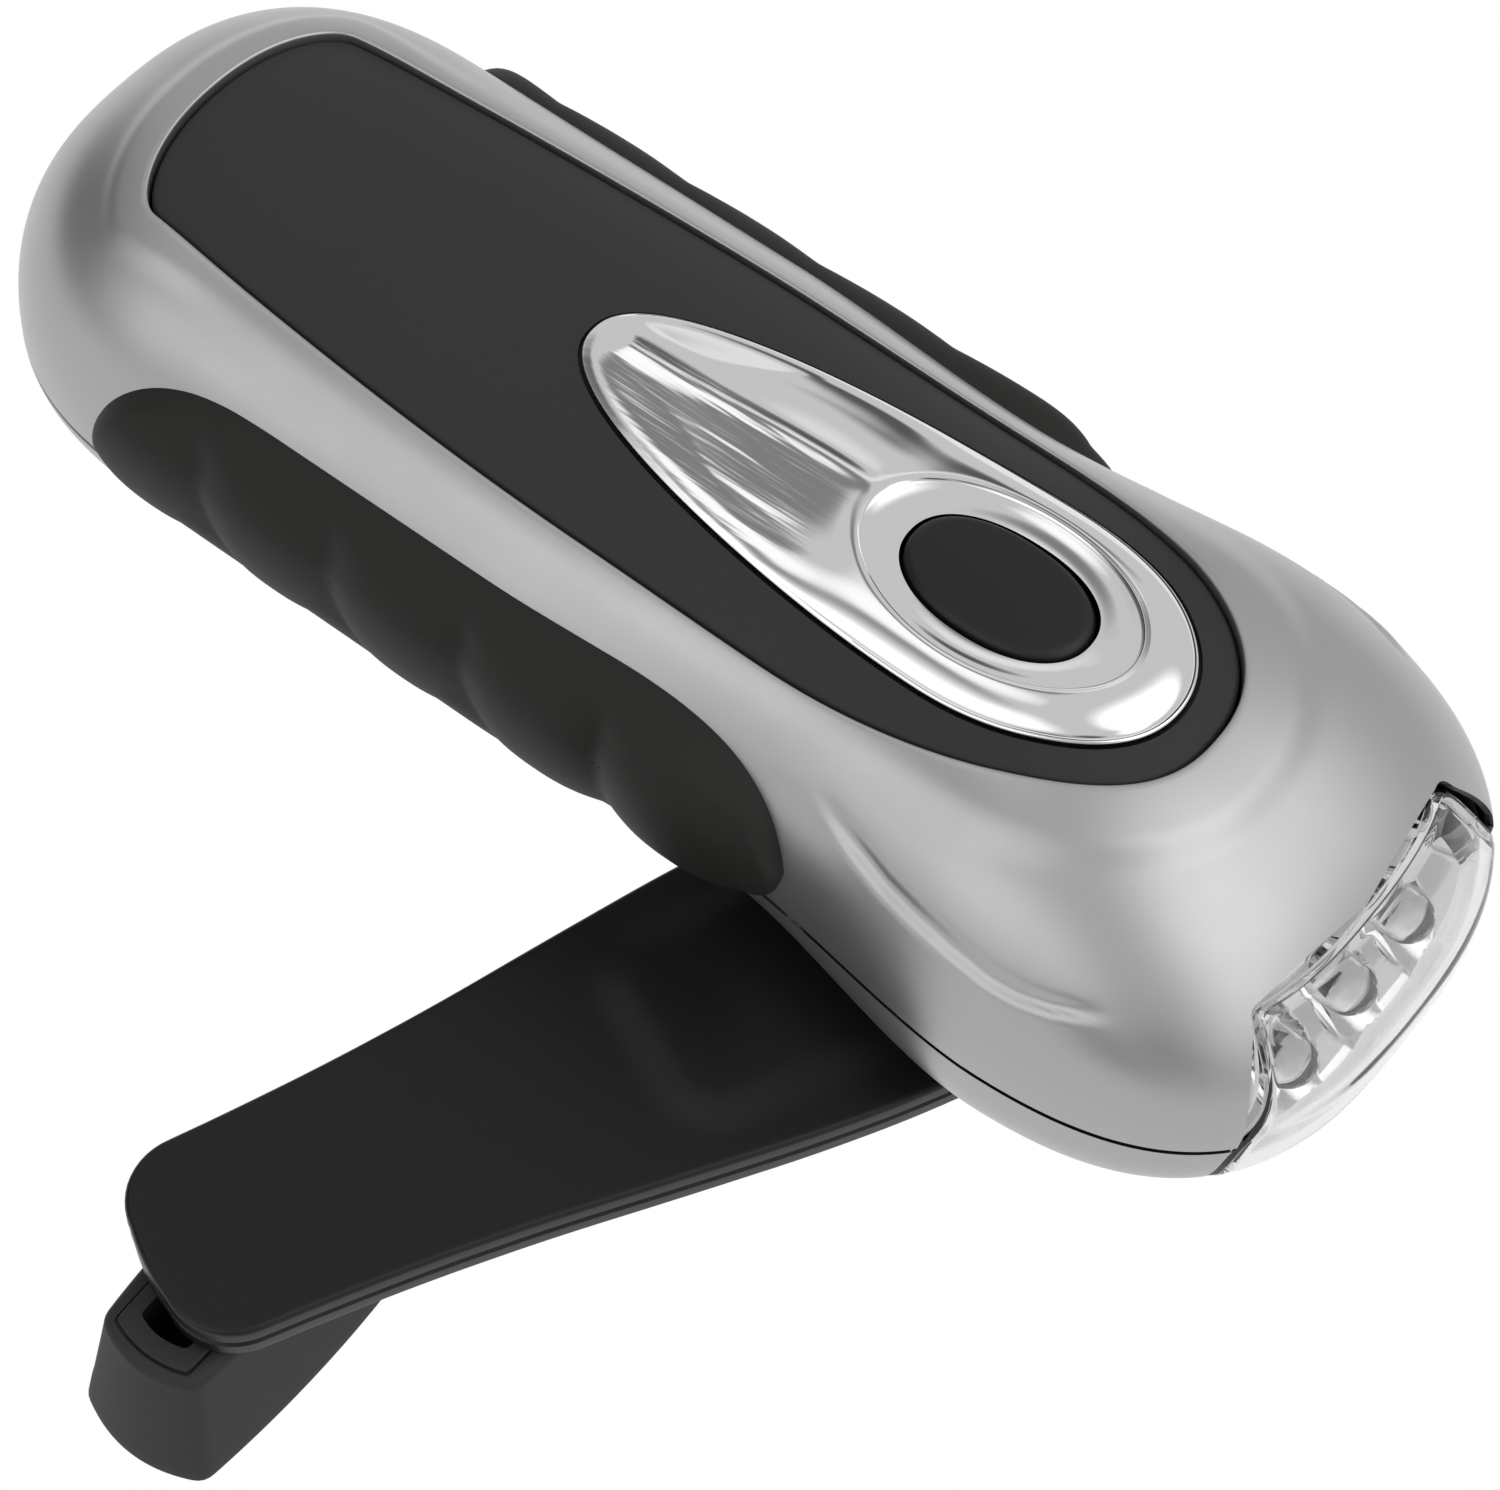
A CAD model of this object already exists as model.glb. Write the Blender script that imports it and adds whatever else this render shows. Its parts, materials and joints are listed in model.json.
"""Dresses the hand crank flashlight: smooth mouldings, chrome, rubber, clear lens and a soft studio."""
import json
import logging
import math
from dataclasses import dataclass
from enum import Enum
from typing import Callable

import bpy
import numpy as np
from mathutils import Matrix, Vector


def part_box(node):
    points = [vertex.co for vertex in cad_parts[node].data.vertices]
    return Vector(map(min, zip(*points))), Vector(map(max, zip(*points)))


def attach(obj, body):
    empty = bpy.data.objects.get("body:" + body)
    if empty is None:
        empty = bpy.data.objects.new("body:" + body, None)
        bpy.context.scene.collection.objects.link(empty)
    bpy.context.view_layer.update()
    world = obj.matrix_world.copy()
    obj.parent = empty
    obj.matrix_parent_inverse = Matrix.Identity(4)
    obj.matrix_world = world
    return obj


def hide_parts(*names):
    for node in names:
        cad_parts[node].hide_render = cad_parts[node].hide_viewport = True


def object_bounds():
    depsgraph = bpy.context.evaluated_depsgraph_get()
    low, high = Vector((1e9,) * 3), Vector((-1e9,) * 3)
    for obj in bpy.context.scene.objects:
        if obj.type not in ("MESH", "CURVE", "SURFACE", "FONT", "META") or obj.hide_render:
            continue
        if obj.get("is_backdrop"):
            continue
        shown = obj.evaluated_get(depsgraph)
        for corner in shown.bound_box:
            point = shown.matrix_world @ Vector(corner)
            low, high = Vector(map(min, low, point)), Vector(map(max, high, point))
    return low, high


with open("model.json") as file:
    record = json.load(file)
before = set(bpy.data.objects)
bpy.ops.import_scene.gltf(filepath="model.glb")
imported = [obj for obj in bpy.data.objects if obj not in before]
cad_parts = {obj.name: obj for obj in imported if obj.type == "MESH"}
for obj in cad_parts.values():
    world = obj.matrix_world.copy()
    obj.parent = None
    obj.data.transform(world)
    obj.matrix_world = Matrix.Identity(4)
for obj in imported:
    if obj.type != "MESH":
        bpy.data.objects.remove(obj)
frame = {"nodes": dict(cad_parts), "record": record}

LOG = logging.getLogger("flashlight")
MM = 0.001
TINY = 1e-6
Array = np.ndarray


# ---------------------------------------------------------------- maths of the mouldings

def round_off(distance: Array, run: float, power: float) -> Array:
    """Gives the share of its full size that a rounded end keeps.

    Args:
        distance: How far into the rounded end each point lies, in mm.
        run: Length of the rounded end, in mm.
        power: Power of the superellipse that rounds it.

    Returns:
        A share from 1 at the shoulder to 0 at the tip.
    """
    share = np.clip(np.asarray(distance, float) / run, 0.0, 1.0)
    return (1.0 - share**power) ** (1.0 / power)


def smooth(share: Array) -> Array:
    """Eases a share of 0 to 1 with flat ends."""
    t = np.clip(share, 0.0, 1.0)
    return t * t * (3.0 - 2.0 * t)


def ease(value: Array, zone: tuple[float, float]) -> Array:
    """Eases from 0 at the zone's start to 1 at the end of its run. The run is negative for a falling side."""
    return smooth((value - zone[0]) / zone[1])


def blend(start: float, end: float, share: Array) -> Array:
    """Blends from start to end with an eased share."""
    return start + (end - start) * smooth(share)


def solve(goal: Callable[[Array], Array], low: Array, high: Array) -> Array:
    """Finds where a falling function crosses zero, by halving.

    Args:
        goal: Positive at low and negative at high.
        low: Start of the span for each point.
        high: End of the span for each point.

    Returns:
        The crossing for each point.
    """
    low = np.array(low, float)
    high = np.array(high, float)
    for _ in range(40):
        middle = (low + high) / 2.0
        over = goal(middle) > 0.0
        low = np.where(over, middle, low)
        high = np.where(over, high, middle)
    return (low + high) / 2.0


@dataclass(frozen=True)
class HousingForm:
    """The outer form of the housing, in millimetres, as the part has it."""

    tail: float = -78.6
    nose: float = 77.5
    head_half: float = 29.22
    waist_half: float = 25.8
    tail_half: float = 27.4
    waist_start: float = -10.0
    waist: float = 18.0
    head: float = 50.0
    front_from: float = 44.0
    parting: float = 14.0
    crown: float = 23.3
    keel_depth: float = 15.0
    tail_run: float = 29.0
    roof_run: float = 27.0
    nose_run: float = 33.8
    hood_run: float = 37.8
    tail_power: float = 2.4
    roof_power: float = 2.6
    nose_power: float = 2.8
    hood_power: float = 1.75
    keel_end_power: float = 2.6
    side_power: float = 2.5
    waist_keel_power: float = 2.0
    head_keel_power: float = 3.4

    def half(self, x: Array, inset: float = 0.0) -> Array:
        """Gives the half-width at the parting line, drawn in by inset.

        Args:
            x: Places along the torch, in mm.
            inset: How far inside the outer form, in mm.

        Returns:
            Half-widths in mm.
        """
        x = np.asarray(x, float)
        behind, ahead = self.waist - self.waist_start, self.head - self.waist
        rear = blend(self.tail_half, self.waist_half, (x - self.waist_start) / behind)
        front = blend(self.waist_half, self.head_half, (x - self.waist) / ahead)
        side = np.where(x < self.waist, rear, front)
        tail = round_off(self.tail + self.tail_run - x, self.tail_run - inset, self.tail_power)
        nose = round_off(x - self.nose + self.nose_run, self.nose_run - inset, self.nose_power)
        return (side - inset) * tail * nose

    def roof(self, x: Array, inset: float = 0.0) -> Array:
        """Gives the height of the roof over the parting line.

        Args:
            x: Places along the torch, in mm.
            inset: How far inside the outer form, in mm.

        Returns:
            Heights in mm.
        """
        x = np.asarray(x, float)
        tail = round_off(self.tail + self.roof_run - x, self.roof_run - inset, self.roof_power)
        nose = round_off(x - self.nose + self.hood_run, self.hood_run - inset, self.hood_power)
        return (self.crown - inset) * tail * nose

    def keel(self, x: Array, inset: float = 0.0) -> Array:
        """Gives the depth of the keel under the parting line.

        Args:
            x: Places along the torch, in mm.
            inset: How far inside the outer form, in mm.

        Returns:
            Depths in mm.
        """
        x = np.asarray(x, float)
        tail = round_off(self.tail + self.roof_run - x, self.roof_run - inset, self.keel_end_power)
        nose = round_off(x - self.nose + self.nose_run, self.nose_run - inset, self.keel_end_power)
        return (self.keel_depth - inset) * tail * nose

    def keel_power(self, x: Array) -> Array:
        """Gives the power of the lower section, boxier towards the head."""
        share = (np.asarray(x, float) - self.waist) / (self.head - self.waist)
        return blend(self.waist_keel_power, self.head_keel_power, share)

    def top(self, x: Array, y: Array, inset: float = 0.0) -> Array:
        """Gives the height of the upper surface over a plan point.

        Args:
            x: Places along the torch, in mm.
            y: Places across it, in mm.
            inset: How far inside the outer form, in mm.

        Returns:
            Heights in mm.
        """
        width = np.maximum(self.half(x, inset), TINY)
        share = np.clip(np.abs(y) / width, 0.0, 1.0)
        section = (1.0 - share**self.side_power) ** (1.0 / self.side_power)
        return self.parting + self.roof(x, inset) * section

    def bottom(self, x: Array, y: Array, inset: float = 0.0) -> Array:
        """Gives the height of the lower surface under a plan point, before the belly is cut flat.

        Args:
            x: Places along the torch, in mm.
            y: Places across it, in mm.
            inset: How far inside the outer form, in mm.

        Returns:
            Heights in mm.
        """
        width = np.maximum(self.half(x, inset), TINY)
        share = np.clip(np.abs(y) / width, 0.0, 1.0)
        power = self.keel_power(x)
        return self.parting - self.keel(x, inset) * (1.0 - share**power) ** (1.0 / power)

    def side(self, x: Array, z: Array, inset: float = 0.0) -> Array:
        """Gives the half-width of the housing at a height.

        Args:
            x: Places along the torch, in mm.
            z: Heights, in mm.
            inset: How far inside the outer form, in mm.

        Returns:
            Half-widths in mm.
        """
        up = np.clip((z - self.parting) / np.maximum(self.roof(x, inset), TINY), 0.0, 1.0)
        down = np.clip((self.parting - z) / np.maximum(self.keel(x, inset), TINY), 0.0, 1.0)
        power = self.keel_power(x)
        upper = (1.0 - up**self.side_power) ** (1.0 / self.side_power)
        lower = (1.0 - down**power) ** (1.0 / power)
        return self.half(x, inset) * np.where(z >= self.parting, upper, lower)

    def front(self, y: Array, z: Array, inset: float = 0.0) -> Array:
        """Gives how far forward the nose reaches at a height and a place across.

        Args:
            y: Places across the torch, in mm.
            z: Heights, in mm.
            inset: How far inside the outer form, in mm.

        Returns:
            Places along the torch, in mm.
        """
        start = np.full(np.shape(y), self.front_from)
        end = np.full(np.shape(y), self.nose - inset - 1e-3)
        return solve(lambda x: self.side(x, z, inset) - np.abs(y), start, end)


@dataclass(frozen=True)
class PanelForm:
    """The outline of the top panel, in millimetres."""

    tail: float = -62.6
    nose: float = 52.2
    half_width: float = 17.3
    tail_half: float = 13.4
    widest: float = -5.0
    nose_run: float = 37.2
    corner_run: float = 5.5
    drop: float = 0.4
    nose_power: float = 2.4
    taper_power: float = 1.7
    spine_tail: float = -50.0
    spine_nose: float = 34.0

    def half(self, x: Array) -> Array:
        """Gives the half-width of the panel along its length.

        Args:
            x: Places along the torch, in mm.

        Returns:
            Half-widths in mm, 0 past the ends.
        """
        x = np.asarray(x, float)
        taper = np.clip((self.widest - x) / (self.widest - self.tail), 0.0, None) ** self.taper_power
        side = self.half_width - (self.half_width - self.tail_half) * taper
        corner = round_off(self.tail + self.corner_run - x, self.corner_run, 2.0)
        nose = round_off(x - self.nose + self.nose_run, self.nose_run, self.nose_power)
        inside = (x > self.tail) & (x < self.nose)
        return np.where(inside, side * corner * nose, 0.0)

    def spine(self, points: Array) -> Array:
        """Gives the point of the middle line that each plan point looks at."""
        return on_spine(points, self.spine_tail, self.spine_nose)

    def edge(self, outer: Array) -> Array:
        """Finds where the line from the spine to each outer point crosses the panel's edge.

        Args:
            outer: Plan points outside the panel, one row each.

        Returns:
            The plan points on the panel's edge.
        """
        start = self.spine(outer)
        ray = outer - start

        def goal(share: Array) -> Array:
            """Gives how far inside the panel's edge the points at a share of their rays lie."""
            at = start + ray * share[:, None]
            return self.half(at[:, 0]) - np.abs(at[:, 1]) - TINY

        share = solve(goal, np.zeros(len(outer)), np.ones(len(outer)))
        return start + ray * share[:, None]


FORM = HousingForm()
PANEL = PanelForm()


def moving_mean(values: Array, window: int) -> Array:
    """Evens out a row of values with the mean of an odd number of neighbours."""
    padded = np.pad(values, window // 2, mode="edge")
    return np.convolve(padded, np.ones(window) / float(window), mode="valid")


def on_spine(points: Array, low: float, high: float, level: float = 0.0) -> Array:
    """Gives the point of a straight spine, from low to high at a level, that each point looks at."""
    return np.column_stack([np.clip(points[:, 0], low, high), np.full(len(points), level)])


def resample(points: Array, count: int) -> Array:
    """Spreads count points evenly along a polyline, ends included.

    Args:
        points: The polyline, one row each.
        count: How many points to give.

    Returns:
        The spread points.
    """
    steps = np.linalg.norm(np.diff(points, axis=0), axis=1)
    along = np.concatenate([[0.0], np.cumsum(steps)])
    goal = np.linspace(0.0, along[-1], count)
    return np.column_stack([np.interp(goal, along, points[:, i]) for i in range(points.shape[1])])


def grid_normals(points: Array) -> Array:
    """Gives the unit normals of a grid of points whose columns join round.

    Args:
        points: Array of rows, columns and 3.

    Returns:
        Normals with the same shape.
    """
    wrapped = np.concatenate([points[:, -1:], points, points[:, :1]], axis=1)
    across = (wrapped[:, 2:] - wrapped[:, :-2]) / 2.0
    along = np.gradient(points, axis=0)
    normal = np.cross(across, along)
    return normal / np.maximum(np.linalg.norm(normal, axis=2, keepdims=True), 1e-9)


# ---------------------------------------------------------------- finishes

WHITE = (1.0, 1.0, 1.0, 1.0)
FINE_NOISE = {"Scale": 1.0, "Detail": 2.0, "Roughness": 0.5}
PATCH_NOISE = {"Detail": 4.0, "Roughness": 0.6}
PATCH_SPAN = {"From Min": 0.3, "From Max": 0.7}


def linear(colour: str) -> tuple[float, float, float, float]:
    """Turns an sRGB hex colour into the linear values that the shader takes."""
    parts = [int(colour[i:i + 2], 16) / 255.0 for i in (1, 3, 5)]
    return tuple(c / 12.92 if c <= 0.04045 else ((c + 0.055) / 1.055) ** 2.4 for c in parts) + (1.0,)


@dataclass(frozen=True)
class Finish:
    """One procedural finish. Grain, wave, ripple and patch sizes are in millimetres."""

    name: str
    colour: str
    roughness: float
    metallic: float = 0.0
    coat: float = 0.0
    coat_roughness: float = 0.1
    specular: float = 0.5
    ior: float = 1.5
    transmission: float = 0.0
    grain: float = 0.0
    grain_height: float = 0.0
    wave: float = 0.0
    wave_height: float = 0.0
    ripple: tuple[float, float, float] = (0.0, 0.0, 0.0)
    ripple_height: float = 0.0
    ripple_x: tuple[float, float] = (15.0, 7.0)
    ripple_y: tuple[float, float] = (2.2, -0.2)
    mottle: float = 0.0
    patch: float = 14.0
    bare: str = ""
    roughness_spread: float = 0.0


class Tree:
    """A shader tree that takes each node with its values and links in one call."""

    def __init__(self, owner: bpy.types.Material | bpy.types.World) -> None:
        """Takes the tree of a material or a world.

        Args:
            owner: The material or world.
        """
        owner.use_nodes = True
        self.nodes = owner.node_tree.nodes
        self.link = owner.node_tree.links.new

    def feed(self, node: bpy.types.Node, inputs: dict[str | int, object]) -> bpy.types.Node:
        """Sets inputs of a node, by name or place, to a value or to the output that feeds them.

        Args:
            node: The node.
            inputs: The inputs, each with its value or output.

        Returns:
            The node.
        """
        for place, value in inputs.items():
            if isinstance(value, bpy.types.NodeSocket):
                self.link(value, node.inputs[place])
            else:
                node.inputs[place].default_value = value
        return node

    def add(self, kind: str, inputs: dict[str | int, object], output: str | int = 0,
            **values: object) -> bpy.types.NodeSocket:
        """Adds a node.

        Args:
            kind: Type of the node, without its "ShaderNode".
            inputs: Its inputs, as feed takes them.
            output: The output that is wanted, by name or place.
            values: The node's own properties.

        Returns:
            The output.
        """
        made = self.nodes.new("ShaderNode" + kind)
        for name, value in values.items():
            setattr(made, name, value)
        return self.feed(made, inputs).outputs[output]


class Library:
    """Builds each finish once and hands it out."""

    def __init__(self) -> None:
        """Starts with no material made."""
        self.made: dict[str, bpy.types.Material] = {}

    def get(self, finish: Finish) -> bpy.types.Material:
        """Gives the material of a finish."""
        if finish.name not in self.made:
            self.made[finish.name] = self.build(finish)
        return self.made[finish.name]

    @staticmethod
    def relief(tree: Tree, finish: Finish, place: bpy.types.NodeSocket) -> bpy.types.NodeSocket | None:
        """Adds the bumps of the grain, the wave and the ripple, each on top of the one before.

        Args:
            tree: The tree to add to.
            finish: The finish.
            place: The Object coordinates.

        Returns:
            The normal of the last bump, or None without one.
        """
        height = None
        for size, depth in (((finish.grain,) * 3, finish.grain_height),
                            ((finish.wave,) * 3, finish.wave_height),
                            (finish.ripple, finish.ripple_height)):
            if min(size) <= 0.0 or depth <= 0.0:
                continue
            scale = tuple(1.0 / (axis * MM) for axis in size)
            scaled = tree.add("Mapping", {"Vector": place, "Scale": scale})
            noise = tree.add("TexNoise", {"Vector": scaled, **FINE_NOISE}, "Fac")
            bump = {"Strength": 1.0, "Distance": depth * MM, "Height": noise}
            if size == finish.ripple:
                split = tree.add("SeparateXYZ", {"Vector": place}).node.outputs
                along, across = (tree.add("MapRange", {"Value": split[axis], "From Min": start * MM,
                                                       "From Max": end * MM}, interpolation_type="SMOOTHSTEP")
                                 for axis, (start, end) in (("X", finish.ripple_x), ("Y", finish.ripple_y)))
                bump["Strength"] = tree.add("Math", {0: along, 1: across}, operation="MULTIPLY")
            if height is not None:
                bump["Normal"] = height
            height = tree.add("Bump", bump)
        return height

    def build(self, finish: Finish) -> bpy.types.Material:
        """Builds the node tree of a finish.

        Args:
            finish: The finish.

        Returns:
            The material.
        """
        material = bpy.data.materials.new(finish.name)
        tree = Tree(material)
        base = linear(finish.colour)
        values = {"Base Color": base, "Roughness": finish.roughness, "Metallic": finish.metallic,
                  "Coat Weight": finish.coat, "Coat Roughness": finish.coat_roughness,
                  "Specular IOR Level": finish.specular, "Transmission Weight": finish.transmission}
        if finish.metallic == 0.0:
            values["IOR"] = finish.ior
        place = tree.add("TexCoord", {}, "Object")
        height = self.relief(tree, finish, place)
        if height is not None:
            values["Normal"] = height
            if finish.coat > 0.0:
                values["Coat Normal"] = height
        if finish.bare:
            inside = tree.add("Attribute", {}, "Fac", attribute_name="bare")
            values["Base Color"] = tree.add("Mix", {0: inside, 6: base, 7: linear(finish.bare)}, 2,
                                            data_type="RGBA")
            values["Metallic"] = tree.add("MapRange", {
                "Value": inside, "To Min": finish.metallic, "To Max": 0.0})
        if finish.mottle > 0.0 or finish.roughness_spread > 0.0:
            patch = tree.add("TexNoise", {"Vector": place, "Scale": 1.0 / (finish.patch * MM),
                                          **PATCH_NOISE}, "Fac")
            if finish.mottle > 0.0:
                low, high = (tuple(min(c * k, 1.0) for c in base[:3]) + (1.0,)
                             for k in (1.0 - finish.mottle, 1.0 + finish.mottle))
                values["Base Color"] = tree.add("Mix", {0: patch, 6: low, 7: high}, 2, data_type="RGBA")
            if finish.roughness_spread > 0.0:
                values["Roughness"] = tree.add("MapRange", {
                    "Value": patch, **PATCH_SPAN,
                    "To Min": max(finish.roughness - finish.roughness_spread, 0.0),
                    "To Max": finish.roughness + finish.roughness_spread})
        tree.feed(tree.nodes["Principled BSDF"], values)
        return material


LIBRARY = Library()

# Satin silver paint over ABS: a soft metallic sheen, no mirror image
SILVER = Finish("silver satin paint", "#ABABAB", 0.34, metallic=0.85, coat=0.1, coat_roughness=0.3,
                grain=0.12, grain_height=0.004, bare="#141414", roughness_spread=0.03)
# Soft-touch black moulding: dull, slightly warm
PANEL_BLACK = Finish("soft matte black ABS", "#2B2929", 0.55, specular=0.3, grain=0.18, grain_height=0.012,
                     mottle=0.04)
# Mirror chrome plate over plastic: faint waves, as plated mouldings have
CHROME = Finish("chrome plate", "#E0E0E2", 0.03, metallic=1.0, ripple=(14.0, 1.15, 9.0), ripple_height=0.1,
                wave=9.0, wave_height=0.03)
# Satin black moulding: slightly glossier than the panel round it
BUTTON_BLACK = Finish("satin black ABS", "#191818", 0.42, specular=0.3, grain=0.2, grain_height=0.006)
# Thermoplastic rubber of the grips: dark, broad soft highlights
RUBBER = Finish("black TPR rubber", "#201F1D", 0.62, specular=0.25, grain=0.25, grain_height=0.015,
                mottle=0.05)
# Clear acrylic: sharp reflections, and the reflector shows through
CLEAR = Finish("clear acrylic", "#E7E7E7", 0.0, transmission=1.0, ior=1.49)
# Pale yellow phosphor over the chip of a white lamp
PHOSPHOR = Finish("lamp phosphor", "#E3DDA0", 0.5)
# Water-clear epoxy: bends the view of the lead frame inside
LAMP_CLEAR = Finish("clear lamp epoxy", "#FFFFFF", 0.0, transmission=1.0, ior=1.54)
# Vacuum plated reflector: nearly a mirror, which brightens the lamps
PLATED = Finish("vacuum plated ABS", "#F0F0F0", 0.04, metallic=1.0)
# Satin black moulding of the arm: soft highlights along its edges
ARM_BLACK = Finish("satin black arm ABS", "#121111", 0.38, specular=0.3, grain=0.2, grain_height=0.006)
# Matt black moulding of the knob: dull and a little grainy
KNOB_BLACK = Finish("matte black knob ABS", "#2B2929", 0.62, specular=0.3, grain=0.22, grain_height=0.02,
                    mottle=0.05)
# Screws and pins: bright, with blurred reflections
STEEL = Finish("bright steel", "#A9ABAD", 0.25, metallic=1.0)
# The pieces below are inside the housing: turned brass, yellow
BRASS = Finish("turned brass", "#C9A25A", 0.28, metallic=1.0)
# Gears: milky white
NYLON = Finish("natural nylon", "#E8E3D6", 0.5)
# Boards: green lacquer with a light gloss
BOARD_GREEN = Finish("green solder mask", "#2B6A3A", 0.3, coat=0.4)
# Coil: reddish wire under enamel
COPPER = Finish("enamelled copper", "#B5622F", 0.3, metallic=1.0)
# Rotor: dark grey and dull
MAGNET = Finish("sintered magnet", "#3C3C3F", 0.5, metallic=0.7)
# Cells: green shrink sleeve
CELL_GREEN = Finish("cell sleeve", "#3E8B52", 0.35)

SLOTS: dict[str, Finish] = {
    "silver_shell": SILVER, "panel_black": PANEL_BLACK, "bezel_chrome": CHROME,
    "button_black": BUTTON_BLACK, "grip_rubber": RUBBER, "lens_clear": CLEAR,
    "lamp_clear": LAMP_CLEAR, "reflector_bright": PLATED, "arm_black": ARM_BLACK,
    "knob_black": KNOB_BLACK, "steel": STEEL, "bush_brass": BRASS, "gear_nylon": NYLON,
    "board_green": BOARD_GREEN, "coil_copper": COPPER, "magnet_grey": MAGNET,
    "cell_jacket": CELL_GREEN,
}


# ---------------------------------------------------------------- modelling

class Body(Enum):
    """The moving bodies of the part."""

    HOUSING = "housing"
    CRANK = "crank"
    KNOB = "knob"
    BUTTON = "button"


def only(obj: bpy.types.Object | None = None) -> None:
    """Selects one object alone and makes it active, or selects nothing.

    Args:
        obj: The object, or None to select nothing.
    """
    if bpy.context.object and bpy.context.object.mode != "OBJECT":
        bpy.ops.object.mode_set(mode="OBJECT")
    bpy.ops.object.select_all(action="DESELECT")
    if obj is not None:
        obj.select_set(True)
        bpy.context.view_layer.objects.active = obj


def named(name: str) -> bpy.types.Object:
    """Names the primitive just added, and gives it."""
    bpy.context.object.name = name
    return bpy.context.object


def apply_modifier(obj: bpy.types.Object, kind: str, **values: object) -> None:
    """Adds a modifier, sets it and applies it.

    Args:
        obj: The object.
        kind: Type of the modifier.
        values: Its settings.
    """
    only(obj)
    modifier = obj.modifiers.new(kind.lower(), kind)
    for name, value in values.items():
        setattr(modifier, name, value)
    bpy.ops.object.modifier_apply(modifier=modifier.name)


def edit(obj: bpy.types.Object, *steps: Callable[[], object]) -> bpy.types.Object:
    """Runs edit-mode steps on all of a mesh, then points every face outward.

    Args:
        obj: The mesh.
        steps: Edit-mode steps, run in order.

    Returns:
        The same object.
    """
    only(obj)
    bpy.ops.object.mode_set(mode="EDIT")
    bpy.ops.mesh.select_all(action="SELECT")
    for step in steps:
        step()
    bpy.ops.mesh.select_all(action="SELECT")
    bpy.ops.mesh.normals_make_consistent(inside=False)
    bpy.ops.object.mode_set(mode="OBJECT")
    return obj


def merge_doubles(reach: float = 0.004) -> None:
    """Merges doubled points and dissolves slivers, reach in millimetres."""
    bpy.ops.mesh.remove_doubles(threshold=reach * MM)
    bpy.ops.mesh.dissolve_degenerate(threshold=reach * MM)


def fill_ends() -> None:
    """Fills the open rims of a tube."""
    bpy.ops.mesh.select_all(action="DESELECT")
    bpy.ops.mesh.select_non_manifold()
    bpy.ops.mesh.edge_face_add()


def shade(obj: bpy.types.Object, angle: float) -> None:
    """Shades smooth, with edges sharper than angle kept."""
    only(obj)
    bpy.ops.object.shade_smooth_by_angle(angle=math.radians(angle))


def grid_object(name: str, points: Array, closed: bool = True) -> bpy.types.Object:
    """Makes a sheet from a grid of points: a grid primitive whose corners are moved to their places.

    Args:
        name: Name of the object.
        points: Rows by columns by 3, in millimetres.
        closed: Whether the last column is joined to the first.

    Returns:
        The sheet.
    """
    if closed:
        points = np.concatenate([points, points[:, :1]], axis=1)
    rows, columns = points.shape[:2]
    only()
    bpy.ops.mesh.primitive_grid_add(x_subdivisions=columns - 1, y_subdivisions=rows - 1, size=1.0)
    obj = named(name)
    mesh = obj.data
    flat = np.zeros(len(mesh.vertices) * 3)
    mesh.vertices.foreach_get("co", flat)
    column, row = (np.rint((flat[axis::3] + 0.5) * (count - 1)).astype(int)
                   for axis, count in ((0, columns), (1, rows)))
    mesh.vertices.foreach_set("co", (points[row, column] * MM).ravel())
    mesh.update()
    return edit(obj, merge_doubles)


def thicken(obj: bpy.types.Object, wall: float) -> None:
    """Gives a sheet an even wall, in millimetres, on its inner side."""
    apply_modifier(obj, "SOLIDIFY", thickness=wall * MM, offset=-1.0,
                   use_even_offset=False, use_quality_normals=True)


def mark_bare(obj: bpy.types.Object, outer_faces: int) -> None:
    """Marks the inner and rim faces of a thickened sheet, by material index, as left unpainted.

    Args:
        obj: The thickened sheet.
        outer_faces: How many faces the sheet had before.
    """
    index = np.ones(len(obj.data.polygons), dtype=np.int32)
    index[:outer_faces] = 0
    while len(obj.data.materials) < 2:
        obj.data.materials.append(None)
    obj.data.polygons.foreach_set("material_index", index)


def keep_bare(obj: bpy.types.Object) -> None:
    """Turns the marks of mark_bare into the attribute that the paint reads.

    Args:
        obj: The marked object.
    """
    index = np.zeros(len(obj.data.polygons), dtype=np.int32)
    obj.data.polygons.foreach_get("material_index", index)
    bare = obj.data.attributes.new("bare", "FLOAT", "FACE")
    bare.data.foreach_set("value", index.astype(np.float32))
    obj.data.polygons.foreach_set("material_index", np.zeros(len(index), dtype=np.int32))


def soften(obj: bpy.types.Object, width: float, segments: int, angle: float = 35.0) -> None:
    """Rounds the edges that are sharper than angle."""
    apply_modifier(obj, "BEVEL", width=width * MM, segments=segments, limit_method="ANGLE",
                   angle_limit=math.radians(angle), harden_normals=False, use_clamp_overlap=True)


def cut(obj: bpy.types.Object, tool: bpy.types.Object, operation: str = "DIFFERENCE") -> None:
    """Cuts one solid with another and removes the cutter."""
    apply_modifier(obj, "BOOLEAN", object=tool, operation=operation, solver="EXACT")
    bpy.data.objects.remove(tool, do_unlink=True)


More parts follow.
